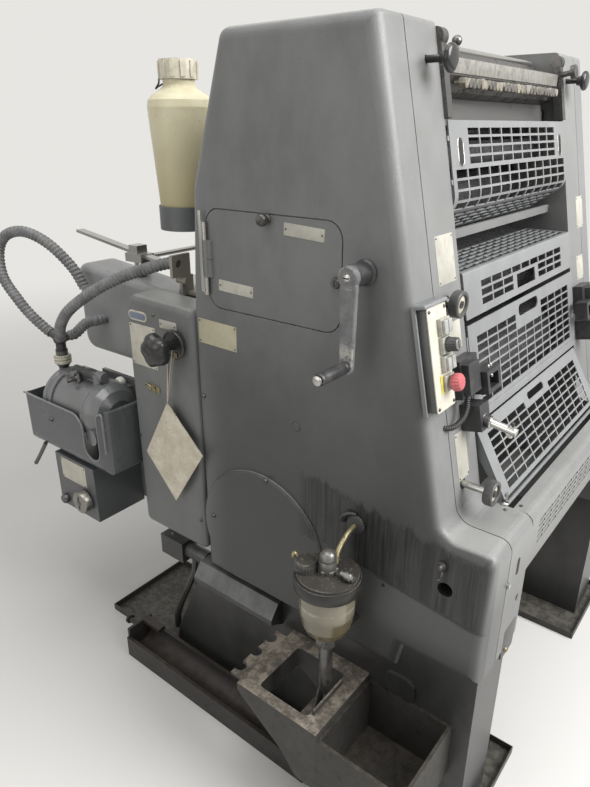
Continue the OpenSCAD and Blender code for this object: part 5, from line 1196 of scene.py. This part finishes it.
drop = SHELF_DEPTH - BEND + BEND * FOLD
face_rows = spans(drop + 24, drop + 76, 3, 5)
pierced_guard("shelf_guard_sheet", "shelf_guard", shelf_profile, drop + SHELF_H - 5,
              [(spans(6, SHELF_DEPTH - BEND - 6, 6, 4.5), spans(-330, 330, 14, 5)),
               (face_rows[:1], narrow),
               (face_rows[1:], spans(-262, -84, 3, 5.5)), (face_rows[1:], spans(84, 262, 3, 5.5)),
               ([(face_rows[1][0] + 2, face_rows[2][1] + 2)], [(-60, 60)])],
              extra=np.linspace(SHELF_DEPTH - BEND, drop, 7))

# Folded lip under the middle guard
sheet("guard_lip", on_slope(958.5, 0, 0.6), (688, 20), 1.5, 3, 0.8, guard_paint, "guard_paint")


# Guard arms

ROD_AXIS, ROD_Z = np.array([0.990, 0, -0.139]), 987.0
ROD = [[0, -2], [13.4, -2], [13.4, 9], [11, 10], [11, 20], [13, 21], [13, 24.6], [8.6, 26], [8.6, 78.5],
       [0, 79]]
for name, side in (("near", -1), ("far", 1)):
    foot = on_front(ROD_Z, side * 389.0) + 34 * X
    rod = Piece(name + "_catch_rod").add(turned(foot, ROD_AXIS, ROD, 32))
    pin = foot + 66 * ROD_AXIS
    rod.add(turned(pin - 15 * Z, Z, [[0, 0], [5, 0], [5, 26], [3.8, 28], [0, 28.4]], 20))
    rod.add(turned(pin - 6 * Y, Y, bar(10.5, 12), 24))
    rod.done(chrome_worn, slot="dull_steel")
    block_face = on_slope(1073, side * FRAME_Y)
    pad("dark", moved(block_face, side * 58, 30, 40.6), 40, 2.4, 0.6, 0.8)
    for a, b in ((14, 26), (14, -30), (38, 26)):
        screw(moved(block_face, 0, 0, 52.2), side * a * 0.5, b * 0.4, 3.6)


# Pump

PUMP_BAND = [[88, 0], [91.4, 1.4], [91.8, 5], [91.4, 8.6], [88, 10], [88, 0]]
pump = Piece("pump_bands")
for x in (-604.0, -449.0):
    pump.add(turned([x, PUMP_Y, PUMP_Z], X, PUMP_BAND, 72))
pump.done(pump_grey, slot="base_paint")
cock = Piece("pump_cocks")
ribs = [[0, 0], [12, 0], [14.2, 2], [14.2, 10], [12.6, 12], [14.2, 14], [14.2, 22], [12.6, 24], [14.2, 26],
        [14.2, 34], [12, 36], [12, 52], [0, 52]]
cock.add(turned([-552, -575, 878], X, ribs, 40))
elbow = smooth_path([[-500, -575, 878], [-476, -573, 880], [-458, -569, 872], [-453, -566, 846]], 3)
cock.add(tube(elbow, 15.5, 24))
cock.add(turned([-453, -566, 836], Z, bar(19, 8), 6))
cock.done(black_plastic, slot="black_plastic")
bent("dark", [[-516, -582, 866], [-524, -600, 862], [-534, -620, 858]], 7.5, 16)
spun("dark", [-516, -590, 852], Z, bar(8, 26), 6)
bent("dark", [[-521, -596, 864], [-540, -600, 872], [-556, -607, 868]], 3.4)

union = [[15, 873], [24, 873], [25.4, 875.5], [25.4, 884], [24.6, 886], [25.4, 888], [25.4, 894],
         [23.4, 897.5], [18, 899], [18, 912], [16, 914], [14, 914], [14, 873], [15, 873]]
Piece("outlet_union").add(turned([HUB[0], HUB[1], 0], Z, union, 48)).done(cream_plastic, slot="cream_plastic")

SHELL_Y = -655.0
shell_top = [[-728, 785], [-600, 785], [-432, 785], [-432, 658.5], [-360, 658.5], [-360, 805], [-331, 824],
             [-331, 700]]
edge = rounded(shell_top, [0, 0, 46, 34, 34, 14, 8, 0], 8)
edge = np.stack([edge[:, 0], np.full(len(edge), SHELL_Y + 1.2), edge[:, 1]], 1)
Piece("shell_rim").add(tube(edge, 3.1, 12)).done(rim_paint, slot="housing_paint")
screw(on_side(-589, 732, face=SHELL_Y), r=7.5, kind="dark")
gathered("dark").add(tube([[-652, -652, 632], [-690, -653, 584], [-732, -653, 535]], 6.2, 16))
gathered("white").add(ball((-447, -500, 839), 16))
spun("dark", [-445, -492, 837], Z, bar(4, -12, -30), 16)
spun("dark", [-578, PUMP_BOX_Y, 463], -Y, [[0, 0], [13, 0], [15, 2], [15, 12], [12, 16], [0, 17]], 32)

DIAL_X, DIAL_Y, DIAL_Z = -466.0, -654.6, 500.0
dial_profile = [[0, 0], [33, 0], [34, 1.2], [34, 22], [32.4, 24.4], [28, 25.4], [0, 25.4]]
dial = Piece("valve_dial").add(turned([DIAL_X, DIAL_Y, DIAL_Z], -Y, dial_profile, 96, 40, 0.012))
dial.done(dial_steel, "valve", "valve_grey", ("valve_knob",))
# Slot on the dial: a dark bar of painted shade.
pad("hole", on_side(DIAL_X, DIAL_Z, 25.2, face=DIAL_Y), 7, 44, 2, 0.6, body="valve")
boss = [[0, 0], [9, 0], [9, 1.4], [7.5, 2.2], [0, 2.2]]
spun("dark", [DIAL_X, DIAL_Y - 25.2, DIAL_Z], -Y, boss, body="valve")


# Lubricator

LUBE = np.array([425.0, -655.0, 0.0])
FILLER = LUBE + [-42, -20, 0]
band = [[60, 639.8], [72.6, 639.8], [73.4, 641], [73.4, 664], [72, 667.6], [69, 668.6], [60, 668.6],
        [60, 639.8]]
Piece("lubricator_band").add(turned(LUBE, Z, band, 72)).done(black_band, slot="lube_cap")
cap = Piece("lubricator_cap")
dome = [[0, 684], [19, 684], [19, 700], [17.6, 703], [18.4, 706], [17.6, 716], [14, 722.5], [8, 726.5],
        [0, 728]]
cap.add(turned(LUBE, Z, dome, 40))
cap.add(turned(LUBE, Z, [[0, 673.8], [22.6, 673.8], [22.6, 683], [20, 685.4], [0, 685.4]], 6))
valve = [[0, 0], [6, 0], [6, 10], [9.5, 11], [9.5, 24], [7, 26], [7, 31], [0, 31]]
cap.add(turned(LUBE + [34, 0, 685], X, valve, 24))
cap.done(dome_steel, slot="dull_steel")
lid = [[0, 668], [24.4, 668], [25.2, 670], [25.2, 690], [23.6, 694], [22, 694.6], [22, 696.6], [19, 697.4],
       [0, 697.4]]
filler = Piece("lubricator_filler").add(turned(FILLER, Z, lid, 96, 28, 0.022))
filler.done(lid_paint, slot="lube_cap")
spun("black", FILLER, Z, [[20, 671], [25.9, 671], [25.9, 687], [20, 687], [20, 671]], 96, 28, 0.02)
nozzle = [[0, 0], [6, 0.5], [8.6, 3], [8.6, 8], [6, 11], [4.2, 12], [4.2, 24], [0, 24]]
spun("brass", [331, LUBE[1], 676], X, nozzle, 24)
bent("brass", [[435, -641, 690], [429.5, -624, 711], [428, -590, 732], [428, -552, 741.5]], 5.9, 16, 3)
flange = [[6, 0], [21, 0], [23, 2], [21.5, 6], [12, 9], [6, 9.4], [6, 0]]
spun("black", [428, COVER_Y + 0.5, 740], -Y, flange, 36)
bent("black", [[404, -552, 738], [398, -566, 744], [400, -569, 756], [412, -562, 764], [428, -556, 764]],
     4.2, 12, 3)

# Front end of the frame: oval recess as a dark pad of painted shade, light rod, ring and latch bracket
pad("hole", on_end(-413.5, 692, -0.2), 15, 42, 7, 0.5)
spun("bright", [FRONT_X - 0.5, -468, 676], X, bar(6, 6), 24)
disc(on_end(-382, 590), 8, 1.2, "dark")
pad("black", on_end(-397, 486, -3.4), 70, 84, 8, 3.6, 1)
screw(on_end(-408, 461, 0.2), r=7, kind="brass")

# Screws of the shelf and the bottle's bail
for x, y, r, kind in ((673, -346, 9, "bright"), (683, -368, 4, "dark"), (704, -332, 4, "dark")):
    screw((np.array([x, y, SHELF_Z]), X, Y, Z), r=r, kind=kind)
bent("dark", [[-208, -366, 1637], [-228, -372, 1644], [-262, -392, 1640], [-272, -418, 1628],
              [-262, -436, 1622], [-246, -440, 1632], [-230, -452, 1641]], 2.2, 10, 4)

for (kind, body), piece in small.items():
    finish, slot = SMALL_FINISHES[kind]
    piece.done(finish, body, slot)


# Camera, light and floor

AZIMUTH, PITCH, LENS = 38.38, 22.8, 29.15
CAMERA_AT = np.array([1050.0, -1555.0, 1540.0])

camera = bpy.data.objects.new("camera", bpy.data.cameras.new("camera"))
bpy.context.scene.collection.objects.link(camera)
camera.data.sensor_width = 36.0
camera.data.sensor_fit = "AUTO"
camera.data.lens = LENS
camera.data.clip_start = 0.05
camera.data.clip_end = 60
camera.location = (CAMERA_AT + SHIFT) / 1000
camera.rotation_mode = "XYZ"
camera.rotation_euler = (math.radians(90 - PITCH), 0, math.radians(AZIMUTH))
bpy.context.scene.camera = camera


def area_lamp(name, spot, towards, size, watts):
    """Square area lamp at a point in metres, facing another."""
    lamp = bpy.data.objects.new(name, bpy.data.lights.new(name, "AREA"))
    bpy.context.scene.collection.objects.link(lamp)
    lamp.data.size, lamp.data.energy = size, watts
    back = np.array(spot, float) - np.array(towards, float)
    back /= np.linalg.norm(back)
    turn = np.stack([*basis(back), back], 1)
    lamp.matrix_world = Matrix([(*map(float, row), p) for row, p in zip(turn, spot)] + [(0, 0, 0, 1)])


area_lamp("window", (3.4, 0.6, 3.4), (0.2, 0, 1.0), 2.6, 270)
area_lamp("ceiling", (0.2, -0.6, 4.2), (0, 0, 0.6), 3.0, 85)
area_lamp("fill", (-0.6, -4.2, 2.2), (0, 0, 0.8), 3.0, 40)

BACKDROP, DAYLIGHT = (0.80, 0.79, 0.76, 1.0), (1.0, 0.99, 0.97, 1.0)

# The backdrop is seen by the camera and in metal and glass, and daylight of its own lights the press
world = bpy.data.worlds.new("studio")
bpy.context.scene.world = world
world.use_nodes = True
tree = world.node_tree
tree.nodes.clear()
paths, light, backdrop, choose, shown = (
    tree.nodes.new("ShaderNode" + kind)
    for kind in ("LightPath", "Background", "Background", "MixShader", "OutputWorld"))
light.inputs["Color"].default_value = DAYLIGHT
light.inputs["Strength"].default_value = 0.37
backdrop.inputs["Color"].default_value = BACKDROP
seen = paths.outputs["Is Camera Ray"]
for kind in ("Is Transmission Ray", "Is Glossy Ray"):
    either = tree.nodes.new("ShaderNodeMath")
    either.operation = "MAXIMUM"
    tree.links.new(seen, either.inputs[0])
    tree.links.new(paths.outputs[kind], either.inputs[1])
    seen = either.outputs[0]
for source, socket in ((seen, choose.inputs[0]), (light.outputs[0], choose.inputs[1]),
                       (backdrop.outputs[0], choose.inputs[2]), (choose.outputs[0], shown.inputs[0])):
    tree.links.new(source, socket)

# Floor: matt, and passing into the backdrop with the distance
FLOOR_HALF, FLOOR_Z = 12.0, -0.0005
corners = [(a * FLOOR_HALF, b * FLOOR_HALF, FLOOR_Z) for a, b in ((-1, -1), (1, -1), (1, 1), (-1, 1))]
floor_mesh = bpy.data.meshes.new("floor")
floor_mesh.from_pydata(corners, [], [(0, 1, 2, 3)])
floor = bpy.data.objects.new("floor", floor_mesh)
bpy.context.scene.collection.objects.link(floor)
pale = Finish("pale_floor")
across, along, _ = pale.axes()
far = pale.band((across * across + along * along) ** 0.5, 1.6, 6.0)
camera_ray = pale.node("LightPath")
matt = pale.node("BsdfPrincipled", {}, {"Base Color": (0.62, 0.61, 0.59, 1.0), "Roughness": 0.7})
glow = pale.node("Emission", {}, {"Color": BACKDROP})
pale.node_out(pale.node("MixShader", {}, {0: far * camera_ray, 1: matt, 2: glow}))
floor_mesh.materials.append(pale.material)

bpy.context.scene.view_settings.view_transform = "Standard"
